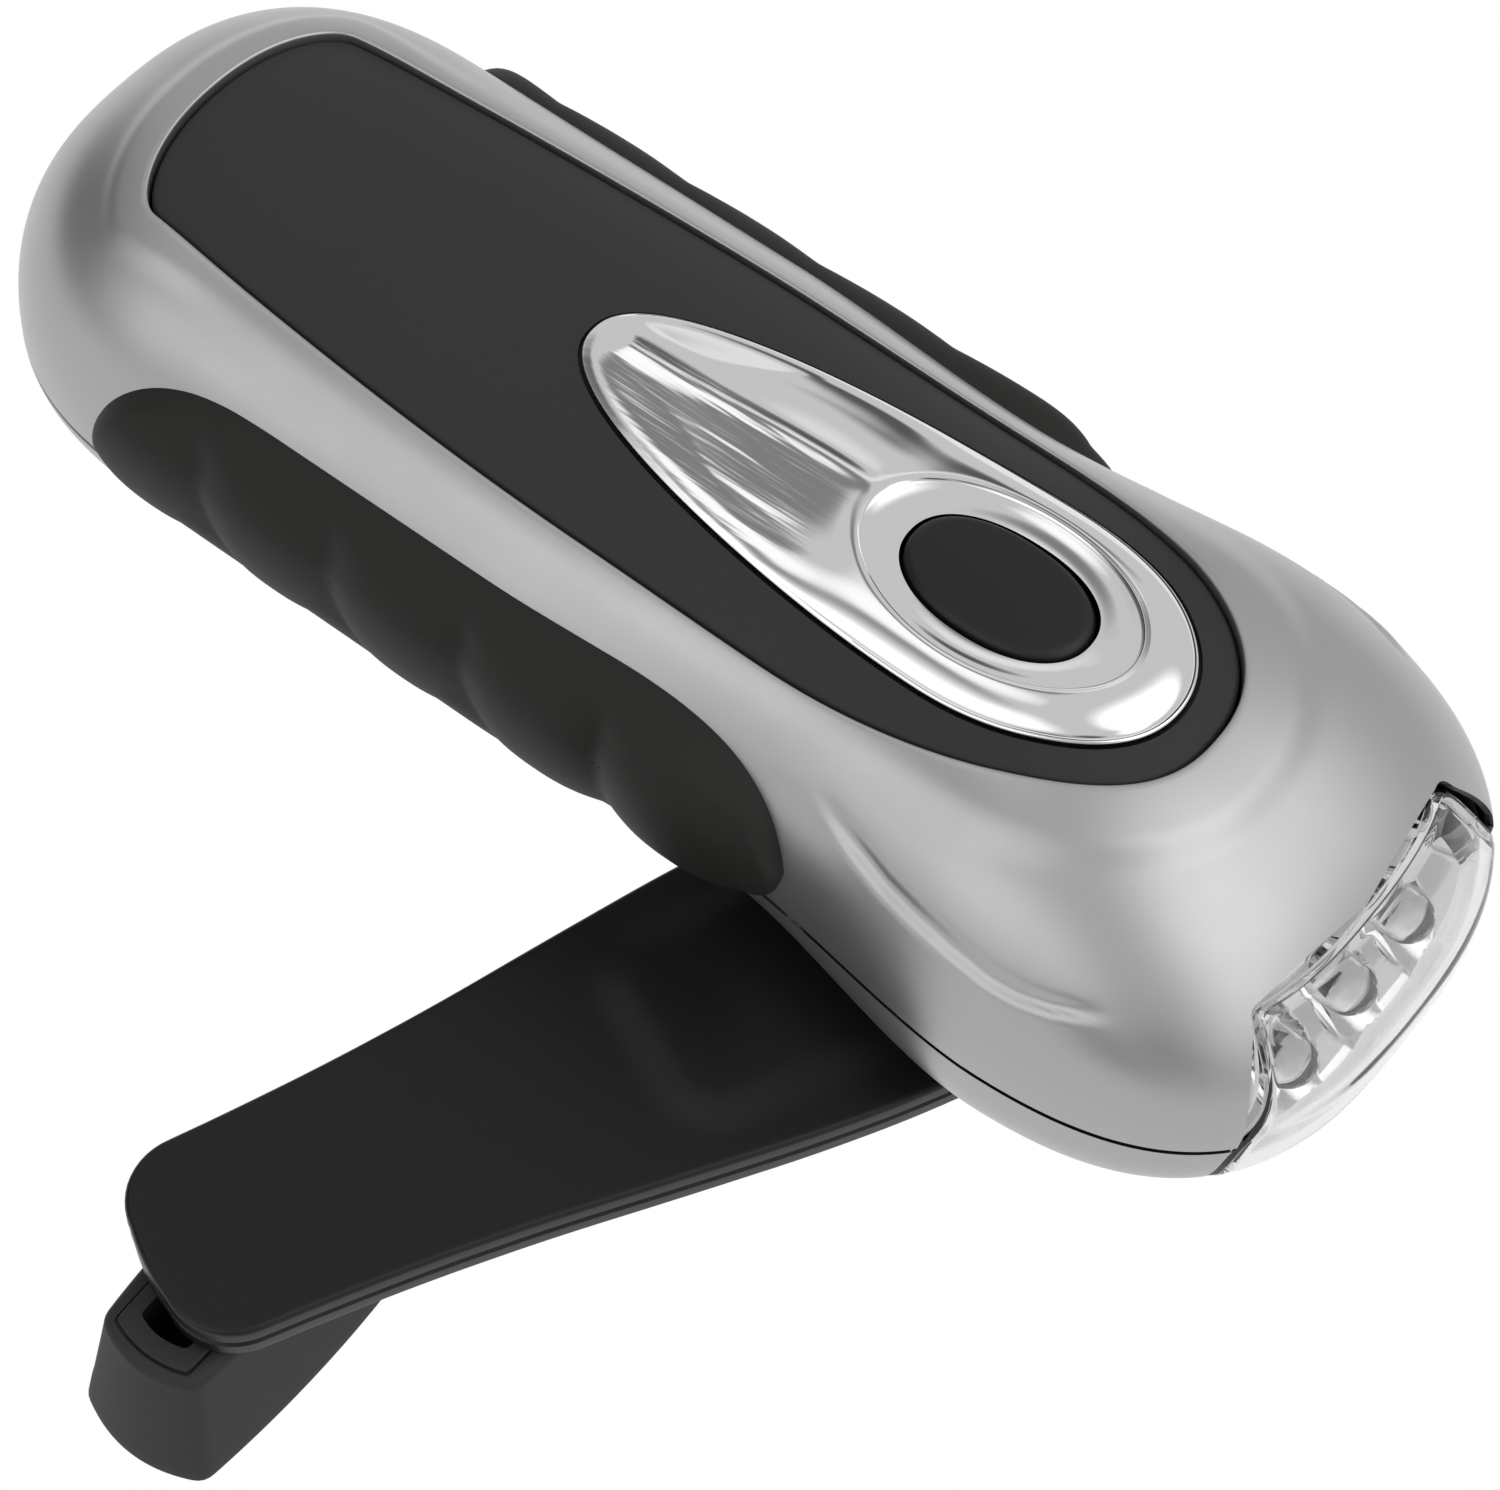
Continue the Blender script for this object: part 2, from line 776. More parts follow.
def cylinder(name: str, radius: float, low: float, high: float, x: float, y: float,
             sides: int = 64) -> bpy.types.Object:
    """Adds an upright cylinder, sizes in millimetres.

    Args:
        name: Name of the object.
        radius: Radius, in mm.
        low: Height of the lower end, in mm.
        high: Height of the upper end, in mm.
        x: Place of its axis along the torch.
        y: Place of its axis across it.
        sides: How many sides it has.

    Returns:
        The cylinder.
    """
    only()
    bpy.ops.mesh.primitive_cylinder_add(vertices=sides, radius=radius * MM, depth=(high - low) * MM,
                                        location=(x * MM, y * MM, (low + high) / 2.0 * MM))
    bpy.ops.object.transform_apply(location=True, rotation=True, scale=True)
    return named(name)


def extruded(name: str, loop: Array, along: tuple[float, float, float]) -> bpy.types.Object:
    """Makes a solid from a flat loop: a circle primitive moved to it, filled and extruded.

    Args:
        name: Name of the object.
        loop: Its corners, one row each, in millimetres.
        along: Way and length of the extrusion, in millimetres.

    Returns:
        The solid.
    """
    only()
    bpy.ops.mesh.primitive_circle_add(vertices=len(loop), radius=1.0)
    obj = named(name)
    obj.data.vertices.foreach_set("co", (loop * MM).ravel())
    way = {"value": tuple(v * MM for v in along)}
    return edit(obj, bpy.ops.mesh.edge_face_add,
                lambda: bpy.ops.mesh.extrude_region_move(TRANSFORM_OT_translate=way))


def prism(name: str, loop: Array, low: float, high: float) -> bpy.types.Object:
    """Makes an upright solid over a plan loop."""
    return extruded(name, np.column_stack([loop, np.full(len(loop), low)]), (0.0, 0.0, high - low))


def draw_in(outer: Array, spine: Array, edge_round: float, angles: Array,
            count: int) -> tuple[Array, Array]:
    """Draws an outline in to its spine: rows round the edge, then rows across the face.

    Args:
        outer: The outline, one row each.
        spine: The point that each outline point runs to.
        edge_round: Radius of the rounded edge, in millimetres.
        angles: Turns of the rows round the edge, in degrees.
        count: How many rows cross the face.

    Returns:
        The rows of points, and how far up the rounded edge each row has climbed, 0 to 1.
    """
    reach = np.linalg.norm(spine - outer, axis=1)
    ray = (spine - outer) / reach[:, None]
    turns = np.radians(angles)
    rows = [outer + ray * (edge_round * (1.0 - math.cos(turn))) for turn in turns]
    for i in range(1, count + 1):
        rows.append(outer + ray * (edge_round + (reach - edge_round) * (i / count))[:, None])
    return np.array(rows), np.array([math.sin(turn) for turn in turns] + [1.0] * count)


def place(obj: bpy.types.Object, finish: Finish, slot: str, body: Body, *nodes: str) -> bpy.types.Object:
    """Gives a finished piece its material, slot and body, and the CAD nodes it stands for.

    Args:
        obj: The piece.
        finish: The finish.
        slot: Name of the material slot.
        body: The body that it rides on.
        nodes: The CAD nodes that it stands for.

    Returns:
        The same piece.
    """
    obj.data.materials.clear()
    obj.data.materials.append(LIBRARY.get(finish))
    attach(obj, body.value)
    if nodes:
        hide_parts(*nodes)
    LOG.info("%s: %d vertices, %s", obj.name, len(obj.data.vertices), finish.name)
    return obj


# ---------------------------------------------------------------- housing

@dataclass(frozen=True)
class WindowForm:
    """The outline of the front window across the nose, in millimetres."""

    top: float = 25.5
    bottom: float = 3.4
    top_half: float = 15.0
    full_half: float = 20.8
    full_height: float = 12.0
    corner: float = 1.6
    low_corner: float = 2.2
    side_corner: float = 3.0
    corner_points: int = 9

    def half_outline(self, grow: float = 0.0) -> Array:
        """Gives half the outline, from the middle of the top edge to the middle of the bottom edge.

        Args:
            grow: How far outside the window's own edge, in mm.

        Returns:
            Places across and heights, one row each.
        """
        lean = (self.full_half - self.top_half) / (self.top - self.full_height)
        points = np.array([
            [0.0, self.top + grow],
            [self.top_half + grow * (1.0 - lean), self.top + grow],
            [self.full_half + grow, self.full_height],
            [self.full_half + grow, self.bottom - grow],
            [0.0, self.bottom - grow],
        ])
        rounded = [points[0]]
        for i, radius in ((1, self.corner), (2, self.side_corner), (3, self.low_corner)):
            here = points[i]
            start, end = (here + (point - here) / np.linalg.norm(point - here) * radius
                          for point in (points[i - 1], points[i + 1]))
            for t in np.linspace(0.0, 1.0, self.corner_points):
                rounded.append((1 - t) ** 2 * start + 2 * t * (1 - t) * here + t * t * end)
        rounded.append(points[4])
        return np.array(rounded)


WINDOW = WindowForm()


def mirror_loop(half: Array, flip: tuple[float, float] = (1.0, -1.0)) -> Array:
    """Closes a half loop with its mirror image, across the X axis unless flip says otherwise."""
    return np.vstack([half, half[1:-1][::-1] * np.array(flip)])


def half_line(nose: float, tail: float, half: Callable[[Array], Array], fine: int) -> Array:
    """Gives half an outline in plan from nose to tail, with its points dense at both ends.

    Args:
        nose: Where it starts.
        tail: Where it ends.
        half: Half-width at each place.
        fine: How many points to give.

    Returns:
        Plan points, one row each.
    """
    middle = (nose + tail) / 2.0
    x = middle + (nose - middle) * np.cos(np.linspace(0.0, math.pi, fine))
    return np.column_stack([x, half(x)])


def parting_half(start: float, count: int, inset: float = 0.0) -> Array:
    """Gives the parting line in plan from a start near the nose round to the tail."""
    return resample(half_line(start, FORM.tail + inset, lambda x: FORM.half(x, inset), 1200), count)


@dataclass(frozen=True)
class ShellSizes:
    """Sizes of the two housing halves, in millimetres."""

    wall: float = 0.65
    lower_wall: float = 1.8
    panel_gap: float = 0.3
    lip_lift: float = 0.3
    lip_front_lift: float = 0.52
    lip_tail_lift: float = 0.5
    lip_band: float = 2.9
    lip_front_band: float = 6.2
    lip_tail_band: float = 4.2
    front_band_zone: tuple[float, float] = (28.0, 24.0)
    tail_band_zone: tuple[float, float] = (-48.0, -14.0)
    front_zone: tuple[float, float] = (30.0, 22.0)
    tail_zone: tuple[float, float] = (-44.0, -12.0)
    lip_fall: tuple[float, float] = (1.6, 1.1)
    lip_crisp: tuple[float, float] = (0.35, 0.6)
    edge_round: float = 0.4
    lip_wall: float = 2.4
    seam: float = 0.7
    seam_fade: float = 0.6
    lower_inset: float = 0.05
    belly_spine: tuple[float, float] = (-44.0, 42.0)
    belly_round: float = 1.4
    below: float = -1.0
    screw_hole: float = 2.5
    screw_depth: float = 5.0
    shaft_x: float = 37.8
    shaft_hole: float = 4.9
    shaft_depth: float = 4.0
    window_cut: tuple[float, float] = (60.0, 30.0)
    crease_depth: float = 0.36
    crease_ridge: float = 0.24
    crease_shift: float = 0.45
    crease_width: float = 0.42
    crease_fade: tuple[float, float] = (0.22, 0.2)
    ridge_shift: float = 0.2
    ridge_inner: float = 0.3
    ridge_outer: float = 0.75


class Housing:
    """The silver upper and lower halves of the housing."""

    CREASE = np.array([[25.6, 22.3], [29.0, 23.6], [32.3, 24.6], [36.3, 25.6], [40.3, 26.3], [44.5, 26.8],
                       [48.6, 27.0], [51.6, 26.7], [54.4, 26.0], [57.4, 24.8], [60.1, 23.4]])
    SCREWS = ((-36.0, 17.5), (-36.0, -17.5), (55.0, 15.5), (55.0, -15.5))
    ROWS = 58
    LOWER_ROWS = 56
    WINDOW_POINTS = 46
    SIDE_POINTS = 190
    LOWER_POINTS = 200
    ROW_POWER = 2.5
    LOWER_ROW_POWER = 2.4
    NEAR_SHARES = (0.2, 0.55)
    NEAR = (0.0, 0.04, 0.12, 0.24, 0.4, 0.8, 1.3, 1.8, 2.3, 2.8, 3.3, 3.8, 4.3, 4.8, 5.4, 6.0, 6.7, 7.4)

    def __init__(self, sizes: ShellSizes = ShellSizes()) -> None:
        """Keeps the sizes of the halves."""
        self.sizes = sizes

    def lip(self, x: Array, distance: Array) -> Array:
        """Gives the lift of the band round the panel.

        Args:
            x: Places along the torch, in mm.
            distance: How far out from the panel's edge, in mm.

        Returns:
            The lift in mm.
        """
        s = self.sizes
        band = s.lip_band + (s.lip_front_band - s.lip_band) * ease(x, s.front_band_zone)
        band = band + (s.lip_tail_band - s.lip_band) * ease(x, s.tail_band_zone)
        ahead, behind = ease(x, s.front_zone), ease(x, s.tail_zone)
        crisp = np.maximum(ahead, behind)
        reach, run = (full - less * crisp for full, less in zip(s.lip_fall, s.lip_crisp))
        fall = smooth((reach - distance / band) / run)
        lift = s.lip_lift + (s.lip_front_lift - s.lip_lift) * ahead + (s.lip_tail_lift - s.lip_lift) * behind
        edge = np.clip(distance / s.edge_round, 0.0, 1.0)
        return lift * fall - s.edge_round * (1.0 - np.sqrt(1.0 - (1.0 - edge) ** 2))

    def crease(self, x: Array, y: Array) -> tuple[Array, Array]:
        """Gives the offset from the crease line, outward positive, and how strong it is along the line.

        Args:
            x: Places along the torch, in mm.
            y: Places across it, in mm.

        Returns:
            The offsets in mm, and the strengths from 0 to 1.
        """
        line = self.CREASE
        best = np.full(x.shape, np.inf)
        offset = np.zeros(x.shape)
        along = np.zeros(x.shape)
        total = len(line) - 1
        for i in range(total):
            a, b = line[i], line[i + 1]
            ab = b - a
            t = np.clip(((x - a[0]) * ab[0] + (np.abs(y) - a[1]) * ab[1]) / (ab @ ab), 0.0, 1.0)
            dx = x - (a[0] + t * ab[0])
            dy = np.abs(y) - (a[1] + t * ab[1])
            distance = np.hypot(dx, dy)
            nearer = distance < best
            best = np.where(nearer, distance, best)
            sign = np.sign(ab[0] * dy - ab[1] * dx)
            offset = np.where(nearer, sign * distance, offset)
            along = np.where(nearer, (i + t) / total, along)
        start, end = self.sizes.crease_fade
        strength = smooth(along / start) * smooth((1.0 - along) / end)
        beyond = (along <= 0.0) | (along >= 1.0)
        return offset, np.where(beyond, 0.0, strength)

    def upper_grid(self) -> Array:
        """Gives the outer skin of the upper half as a grid, panel edge first.

        Returns:
            Rows of points in mm, from the wall beside the panel to the parting line.
        """
        s = self.sizes
        outline = WINDOW.half_outline(s.seam)
        edge = outline[outline[:, 1] >= FORM.parting]
        across = np.append(edge[:, 0], np.interp(-FORM.parting, -outline[:, 1], outline[:, 0]))
        height = np.append(edge[:, 1], FORM.parting)
        window = resample(np.column_stack([FORM.front(across, height), across]), self.WINDOW_POINTS)
        outer = mirror_loop(np.vstack([window, parting_half(window[-1][0], self.SIDE_POINTS)[1:]]))
        ray = outer - PANEL.spine(outer)
        ray = ray / np.linalg.norm(ray, axis=1, keepdims=True)
        inner = PANEL.edge(outer) + ray * s.panel_gap
        reach = np.linalg.norm(outer - inner, axis=1)
        rows = []
        least, most = self.NEAR_SHARES
        for value in self.NEAR:
            share = most * (least + (1.0 - least) * value / self.NEAR[-1])
            rows.append(np.minimum(value, reach * share) if value > 1.0 else np.full(len(outer), value))
        start_row = rows[-1]
        for i in range(1, self.ROWS + 1):
            share = 1.0 - (1.0 - i / self.ROWS) ** self.ROW_POWER
            rows.append(start_row + (reach - start_row) * share)
        distance = np.array(rows)
        plan = inner[None] + ray[None] * distance[:, :, None]
        x, y = plan[:, :, 0], plan[:, :, 1]
        z = FORM.top(x, y) + self.lip(x, distance)
        over = np.maximum(FORM.top(x[-1], y[-1]) - FORM.parting, 0.0)
        z[-1] = FORM.parting + over * smooth(over / s.seam_fade)
        grid = np.dstack([x, y, z])
        offset, strength = self.crease(x, y)
        valley = -s.crease_depth * np.exp(-((offset + s.crease_shift) / s.crease_width) ** 2)
        beside = offset - s.ridge_shift
        ridge = (s.crease_ridge * np.exp(-(np.clip(beside, None, 0.0) / s.ridge_inner) ** 2)
                 * np.exp(-np.clip(beside, 0.0, None) / s.ridge_outer))
        normal = grid_normals(grid)
        outward = np.sign(np.sum(normal * np.dstack([x * 0, y * 0.2, np.ones_like(x)]), axis=2))
        grid = grid + normal * (outward * (valley + ridge) * strength)[:, :, None]
        wall = grid[:1].copy()
        wall[0, :, 2] -= s.lip_wall
        return np.concatenate([wall, grid], axis=0)

    def upper(self) -> bpy.types.Object:
        """Models the upper half.

        Returns:
            The upper half.
        """
        obj = grid_object("silver_upper_shell", self.upper_grid())
        faces = len(obj.data.polygons)
        thicken(obj, self.sizes.wall)
        mark_bare(obj, faces)
        keep_bare(obj)
        shade(obj, 50.0)
        return place(obj, SILVER, "silver_shell", Body.HOUSING, "upper_shell")

    def lower(self) -> bpy.types.Object:
        """Models the lower half, with its flat belly, window cut, screw holes and shaft hole.

        Returns:
            The lower half.
        """
        s = self.sizes
        inset = s.lower_inset
        outer = mirror_loop(parting_half(FORM.nose - inset, self.LOWER_POINTS, inset))
        spine = on_spine(outer, *s.belly_spine)
        shares = [(i / self.LOWER_ROWS) ** self.LOWER_ROW_POWER for i in range(self.LOWER_ROWS)]
        plan = np.array([outer + (spine - outer) * share for share in shares] + [spine])
        x, y = plan[:, :, 0], plan[:, :, 1]
        z = FORM.bottom(x, y, inset)
        over = z / s.belly_round
        z = s.belly_round * np.where(over > 6.0, over, np.log1p(np.exp(np.clip(over, -30.0, 6.0))))
        z = z - s.belly_round * math.log(2.0) * np.exp(-np.clip(over, 0.0, None))
        z = np.where(FORM.bottom(x, y, inset) < s.below, 0.0, np.maximum(z, 0.0))
        z[0] = FORM.parting - s.seam
        z = np.minimum(z, FORM.parting - s.seam)
        obj = grid_object("silver_lower_shell", np.dstack([x, y, z])[::-1])
        faces = len(obj.data.polygons)
        thicken(obj, s.lower_wall)
        mark_bare(obj, faces)
        window = mirror_loop(WINDOW.half_outline(s.seam), (-1.0, 1.0))
        start, length = s.window_cut
        loop = np.column_stack([np.full(len(window), start), window])
        cut(obj, extruded("window_cutter", loop, (length, 0.0, 0.0)))
        for px, py in self.SCREWS:
            cut(obj, cylinder("screw_cutter", s.screw_hole, s.below, s.screw_depth, px, py, 40))
        cut(obj, cylinder("shaft_cutter", s.shaft_hole, s.below, s.shaft_depth, s.shaft_x, 0.0))
        keep_bare(obj)
        shade(obj, 40.0)
        return place(obj, SILVER, "silver_shell", Body.HOUSING, "lower_shell")

    def build(self) -> list[bpy.types.Object]:
        """Builds both halves."""
        return [self.upper(), self.lower()]


@dataclass(frozen=True)
class PanelSizes:
    """Sizes of the top panel, in millimetres."""

    edge_round: float = 0.45
    skirt: float = 1.6
    wall: float = 1.4
    opening_x: float = 29.2
    opening_half_length: float = 9.8
    opening_half_width: float = 6.1
    opening_power: float = 2.2
    opening_gap: float = 0.4
    opening_cut: tuple[float, float] = (25.0, 42.0)

    def opening(self, turn: Array, grow: float = 0.0) -> Array:
        """Gives the button's opening in plan, a superellipse, at turns from +X round by +Y."""
        along, across = (np.sign(part) * np.abs(part) ** (2.0 / self.opening_power)
                         for part in (np.cos(turn), np.sin(turn)))
        return np.column_stack([self.opening_x + (self.opening_half_length + grow) * along,
                                (self.opening_half_width + grow) * across])


def full_turn(count: int) -> Array:
    """Gives count even turns of a full circle."""
    return np.linspace(0.0, 2.0 * math.pi, count, endpoint=False)


class TopPanel:
    """The black panel let into the roof."""

    POINTS = 200
    ROWS = 26
    FINE_POINTS = 2400
    SEAT_POINTS = 150
    OPENING_POINTS = 96

    def __init__(self, sizes: PanelSizes = PanelSizes()) -> None:
        """Keeps the sizes of the panel."""
        self.sizes = sizes

    def outline(self, count: int) -> Array:
        """Gives the panel's outline in plan, evenly spaced.

        Args:
            count: How many points to give.

        Returns:
            Plan points, one row each.
        """
        half = half_line(PANEL.nose - TINY, PANEL.tail + TINY, PANEL.half, self.FINE_POINTS)
        half[0, 1] = 0.0
        half[-1, 1] = 0.0
        return mirror_loop(resample(half, count))

    def bezel_seat(self) -> bpy.types.Object:
        """Models the solid that the bezel's shallow seat is cut with, following the roof.

        Returns:
            The cutter.
        """
        sizes = BezelSizes()
        loop = Bezel(sizes).outline(self.SEAT_POINTS)
        step = np.roll(loop, -1, axis=0) - np.roll(loop, 1, axis=0)
        step = step / np.linalg.norm(step, axis=1, keepdims=True)
        loop = loop + np.column_stack([step[:, 1], -step[:, 0]]) * sizes.gap
        spine = on_spine(loop, *sizes.seat_spine)
        rows = []
        over, under = sizes.seat_top, -sizes.gap_depth
        for share, lift in ((1.0, over), (0.0, over), (0.0, under), (1.0, under)):
            plan = loop + (spine - loop) * share
            rows.append(np.column_stack([plan, FORM.top(plan[:, 0], plan[:, 1]) - PANEL.drop + lift]))
        return edit(grid_object("seat_cutter", np.array(rows)))

    def build(self) -> bpy.types.Object:
        """Models the panel.

        Returns:
            The panel.
        """
        s = self.sizes
        outer = self.outline(self.POINTS)
        plan, climbed = draw_in(outer, PANEL.spine(outer), s.edge_round, range(0, 91, 18), self.ROWS)
        plan = np.concatenate([outer[None], plan])
        drops = np.append(s.skirt, s.edge_round * (1.0 - climbed))
        x, y = plan[:, :, 0], plan[:, :, 1]
        z = FORM.top(x, y) - PANEL.drop - drops[:, None]
        obj = grid_object("black_top_panel", np.dstack([x, y, z])[::-1])
        thicken(obj, s.wall)
        loop = s.opening(full_turn(self.OPENING_POINTS), s.opening_gap)
        cut(obj, prism("panel_cutter", loop, *s.opening_cut))
        cut(obj, self.bezel_seat())
        shade(obj, 40.0)
        return place(obj, PANEL_BLACK, "panel_black", Body.HOUSING, "top_panel")


@dataclass(frozen=True)
class BezelSizes:
    """Sizes of the chrome bezel, in millimetres."""

    centre: float = 29.2
    front_run: float = 19.5
    tail_run: float = 45.8
    half_width: float = 12.3
    front_power: float = 2.1
    tail_power: float = 1.75
    tail_root: float = 0.44
    crest_half_length: float = 14.2
    crest_half_width: float = 8.9
    crest: float = 1.66
    lip: float = 0.4
    wall: float = 0.35
    edge_round: float = 0.25
    rim: float = 0.92
    rim_at: float = 3.6
    rim_share: float = 0.45
    least_half: float = 0.8
    least_dip: float = 0.5
    trough: float = 0.88
    trough_share: float = 0.7
    bead_start: float = -12.4
    bead_run: float = 24.0
    bead_power: float = 1.1
    bead_round: tuple[float, float] = (0.5, 1.4)
    bead_flank: tuple[float, float] = (2.6, 7.6)
    bead_lift: tuple[float, float] = (0.4, 0.59)
    line_lift: float = 0.2
    line_width: float = 0.85
    line_side: float = 1.2
    thickness: float = 0.54
    ring_scale: float = 10.0
    ring_reach: float = 0.75
    ring_zone: tuple[float, float] = (8.0, 16.0)
    front_slope: tuple[float, float] = (1.9, 0.62)
    dish_slope: tuple[float, float] = (2.2, 0.75)
    crest_cut: float = 0.12
    crest_cut_width: float = 0.03
    gap: float = 0.35
    gap_depth: float = 0.8
    seat_top: float = 2.0
    seat_spine: tuple[float, float] = (-8.0, 38.0)
    skirt: float = 0.5
    inner_wall: float = 2.2


class Bezel:
    """The teardrop chrome bezel with its raised ring."""

    POINTS = 190
    FINE_POINTS = 3000
    RIM_ROWS = 54
    DISH_ROWS = 24

    def __init__(self, sizes: BezelSizes = BezelSizes(), panel: PanelSizes = PanelSizes()) -> None:
        """Keeps the sizes of the bezel and of the panel under it."""
        self.sizes = sizes
        self.panel = panel

    def half(self, x: Array) -> Array:
        """Gives the half-width of the bezel along its length.

        Args:
            x: Places along the torch, in mm.

        Returns:
            Half-widths in mm.
        """
        s = self.sizes
        front = s.half_width * round_off(x - s.centre, s.front_run, s.front_power)
        share = np.clip((s.centre - x) / s.tail_run, 0.0, 1.0)
        tail = s.half_width * (1.0 - share**s.tail_power) ** s.tail_root
        return np.where(x >= s.centre, front, tail)

    def outline(self, count: int) -> Array:
        """Gives the outline in plan, evenly spaced.

        Args:
            count: How many points to give.

        Returns:
            Plan points, one row each.
        """
        s = self.sizes
        line = half_line(s.centre + s.front_run, s.centre - s.tail_run, self.half, self.FINE_POINTS)
        return mirror_loop(resample(line, count))

    def height(self, x: Array, y: Array, edge: Array) -> Array:
        """Gives the height of the chrome over the panel.

        Args:
            x: Places along the torch.
            y: Places across it.
            edge: Distance in from the bezel's edge.

        Returns:
            Heights in millimetres.
        """
        s = self.sizes
        width = np.maximum(self.half(x), s.least_half)
        rim_at = np.minimum(s.rim_at, width * s.rim_share)
        share = np.clip(edge / rim_at, 0.0, 1.0)
        rim = s.wall + (s.rim - s.wall) * np.sqrt(1.0 - (1.0 - share) ** 2)
        past = np.clip((edge - rim_at) / np.maximum(width - rim_at, s.least_dip), 0.0, 1.0)
        base = rim + (s.trough - s.rim) * smooth(past / s.trough_share)
        run = ease(x, (s.bead_start, s.bead_run))
        bend, flank, lift = (blend(*ends, run) for ends in (s.bead_round, s.bead_flank, s.bead_lift))
        side = s.line_side * run
        away = np.hypot(np.clip(s.bead_start - x, 0.0, None), y - side)
        reach = np.sqrt(away**2 + bend**2) - bend
        base = base + lift * np.clip(1.0 - reach / flank, 0.0, 1.0) ** s.bead_power
        base = base + s.line_lift * np.exp(-(away / s.line_width) ** 2)
        radius = np.hypot((x - s.centre) / s.crest_half_length, y / s.crest_half_width)
        outside = np.clip(radius - 1.0, 0.0, None) * s.ring_scale
        near = outside / np.maximum(outside + edge, TINY)
        fall, root = s.front_slope
        front = s.wall + (s.crest - s.wall) * np.clip(1.0 - near**fall, 0.0, 1.0) ** root
        rear_ring = base + (s.crest - base) / (1.0 + (outside / s.ring_reach) ** 2.0)
        ring = blend(rear_ring, front, ease(x, s.ring_zone))
        inner = self.panel.opening_half_length / s.crest_half_length
        dish = np.clip((radius - inner) / (1.0 - inner), 0.0, 1.0)
        fall, root = s.dish_slope
        cup = s.lip + (s.crest - s.lip) * (1.0 - np.sqrt(np.clip(1.0 - dish**fall, 0.0, 1.0))) ** root
        top_round = np.exp(-((radius - 1.0) / s.crest_cut_width) ** 2) * s.crest_cut
        return np.where(radius < 1.0, cup, ring) - top_round

    def build(self) -> bpy.types.Object:
        """Models the bezel.

        Returns:
            The bezel.
        """
        s = self.sizes
        p = self.panel
        outer = self.outline(self.POINTS)
        inner = p.opening(np.arctan2(outer[:, 1] / p.opening_half_width,
                                     (outer[:, 0] - p.opening_x) / p.opening_half_length))
        reach = np.linalg.norm(inner - outer, axis=1)
        ray = (inner - outer) / reach[:, None]
        start = np.full(len(outer), s.edge_round)

        def past_crest(at: Array) -> Array:
            """Gives how far outside the crest's oval the points at a distance along their rays lie."""
            along, across = (outer + ray * at[:, None]).T
            return np.hypot((along - s.centre) / s.crest_half_length, across / s.crest_half_width) - 1.0

        crest_at = solve(past_crest, start, reach)
        turns = np.radians(range(0, 91, 15))
        edges = [0.0 * reach] + [start * (1.0 - math.cos(turn)) for turn in turns]
        lifts = [-s.skirt] + [s.wall - s.edge_round * (1.0 - math.sin(turn)) for turn in turns]
        for low, high, count in ((start, crest_at, self.RIM_ROWS), (crest_at, reach, self.DISH_ROWS)):
            edges += [low + (high - low) * (i / count) for i in range(1, count + 1)]
        edge = np.array(edges)
        plan = outer[None] + ray[None] * edge[:, :, None]
        x, y = plan[:, :, 0], plan[:, :, 1]
        lift = self.height(x, y, edge - s.edge_round)
        lift[:len(lifts)] = np.array(lifts)[:, None]
        z = FORM.top(x, y) - PANEL.drop + lift
        grid = np.dstack([x, y, z])
        inside = grid[-1:] - np.array([0.0, 0.0, s.inner_wall])
        obj = grid_object("chrome_button_bezel", np.concatenate([grid, inside], axis=0)[::-1])
        thicken(obj, s.thickness)
        shade(obj, 45.0)
        return place(obj, CHROME, "bezel_chrome", Body.HOUSING, "chrome_bezel")


@dataclass(frozen=True)
class ButtonSizes:
    """Sizes of the power button, in millimetres."""

    play: float = 0.4
    top: float = 38.1
    bottom: float = 33.6
    edge_round: float = 0.9
    crown: float = 0.25
    slope: float = 0.03


class Button:
    """The oval power button."""

    POINTS = 128
    ROWS = 12
    FIRST_ROW_SHARE = 0.92

    def __init__(self, sizes: ButtonSizes = ButtonSizes(), panel: PanelSizes = PanelSizes()) -> None:
        """Keeps the sizes of the button and of the panel round it."""
        self.sizes = sizes
        self.panel = panel

    def build(self) -> bpy.types.Object:
        """Models the button.

        Returns:
            The button.
        """
        s, p = self.sizes, self.panel
        outer = p.opening(full_turn(self.POINTS), -s.play)
        centre = np.array([p.opening_x, 0.0])
        rows = [np.column_stack([outer, np.full(len(outer), s.bottom)])]

        def add(share: float, height: float) -> None:
            """Adds the outline, drawn in to a share of its size, at a height."""
            plan = centre + (outer - centre) * share
            rows.append(np.column_stack([plan, height - s.slope * (plan[:, 0] - p.opening_x)]))

        for turn in np.radians(range(0, 91, 15)):
            add(1.0 - s.edge_round * (1.0 - math.cos(turn)) / p.opening_half_width,
                s.top - s.crown - s.edge_round * (1.0 - math.sin(turn)))
        for share in np.linspace(self.FIRST_ROW_SHARE, 0.0, self.ROWS):
            add((1.0 - s.edge_round / p.opening_half_width) * share, s.top - s.crown * share**2)
        obj = edit(grid_object("oval_power_button", np.array(rows)[::-1]), fill_ends)
        shade(obj, 40.0)
        return place(obj, BUTTON_BLACK, "button_black", Body.BUTTON, "power_button")


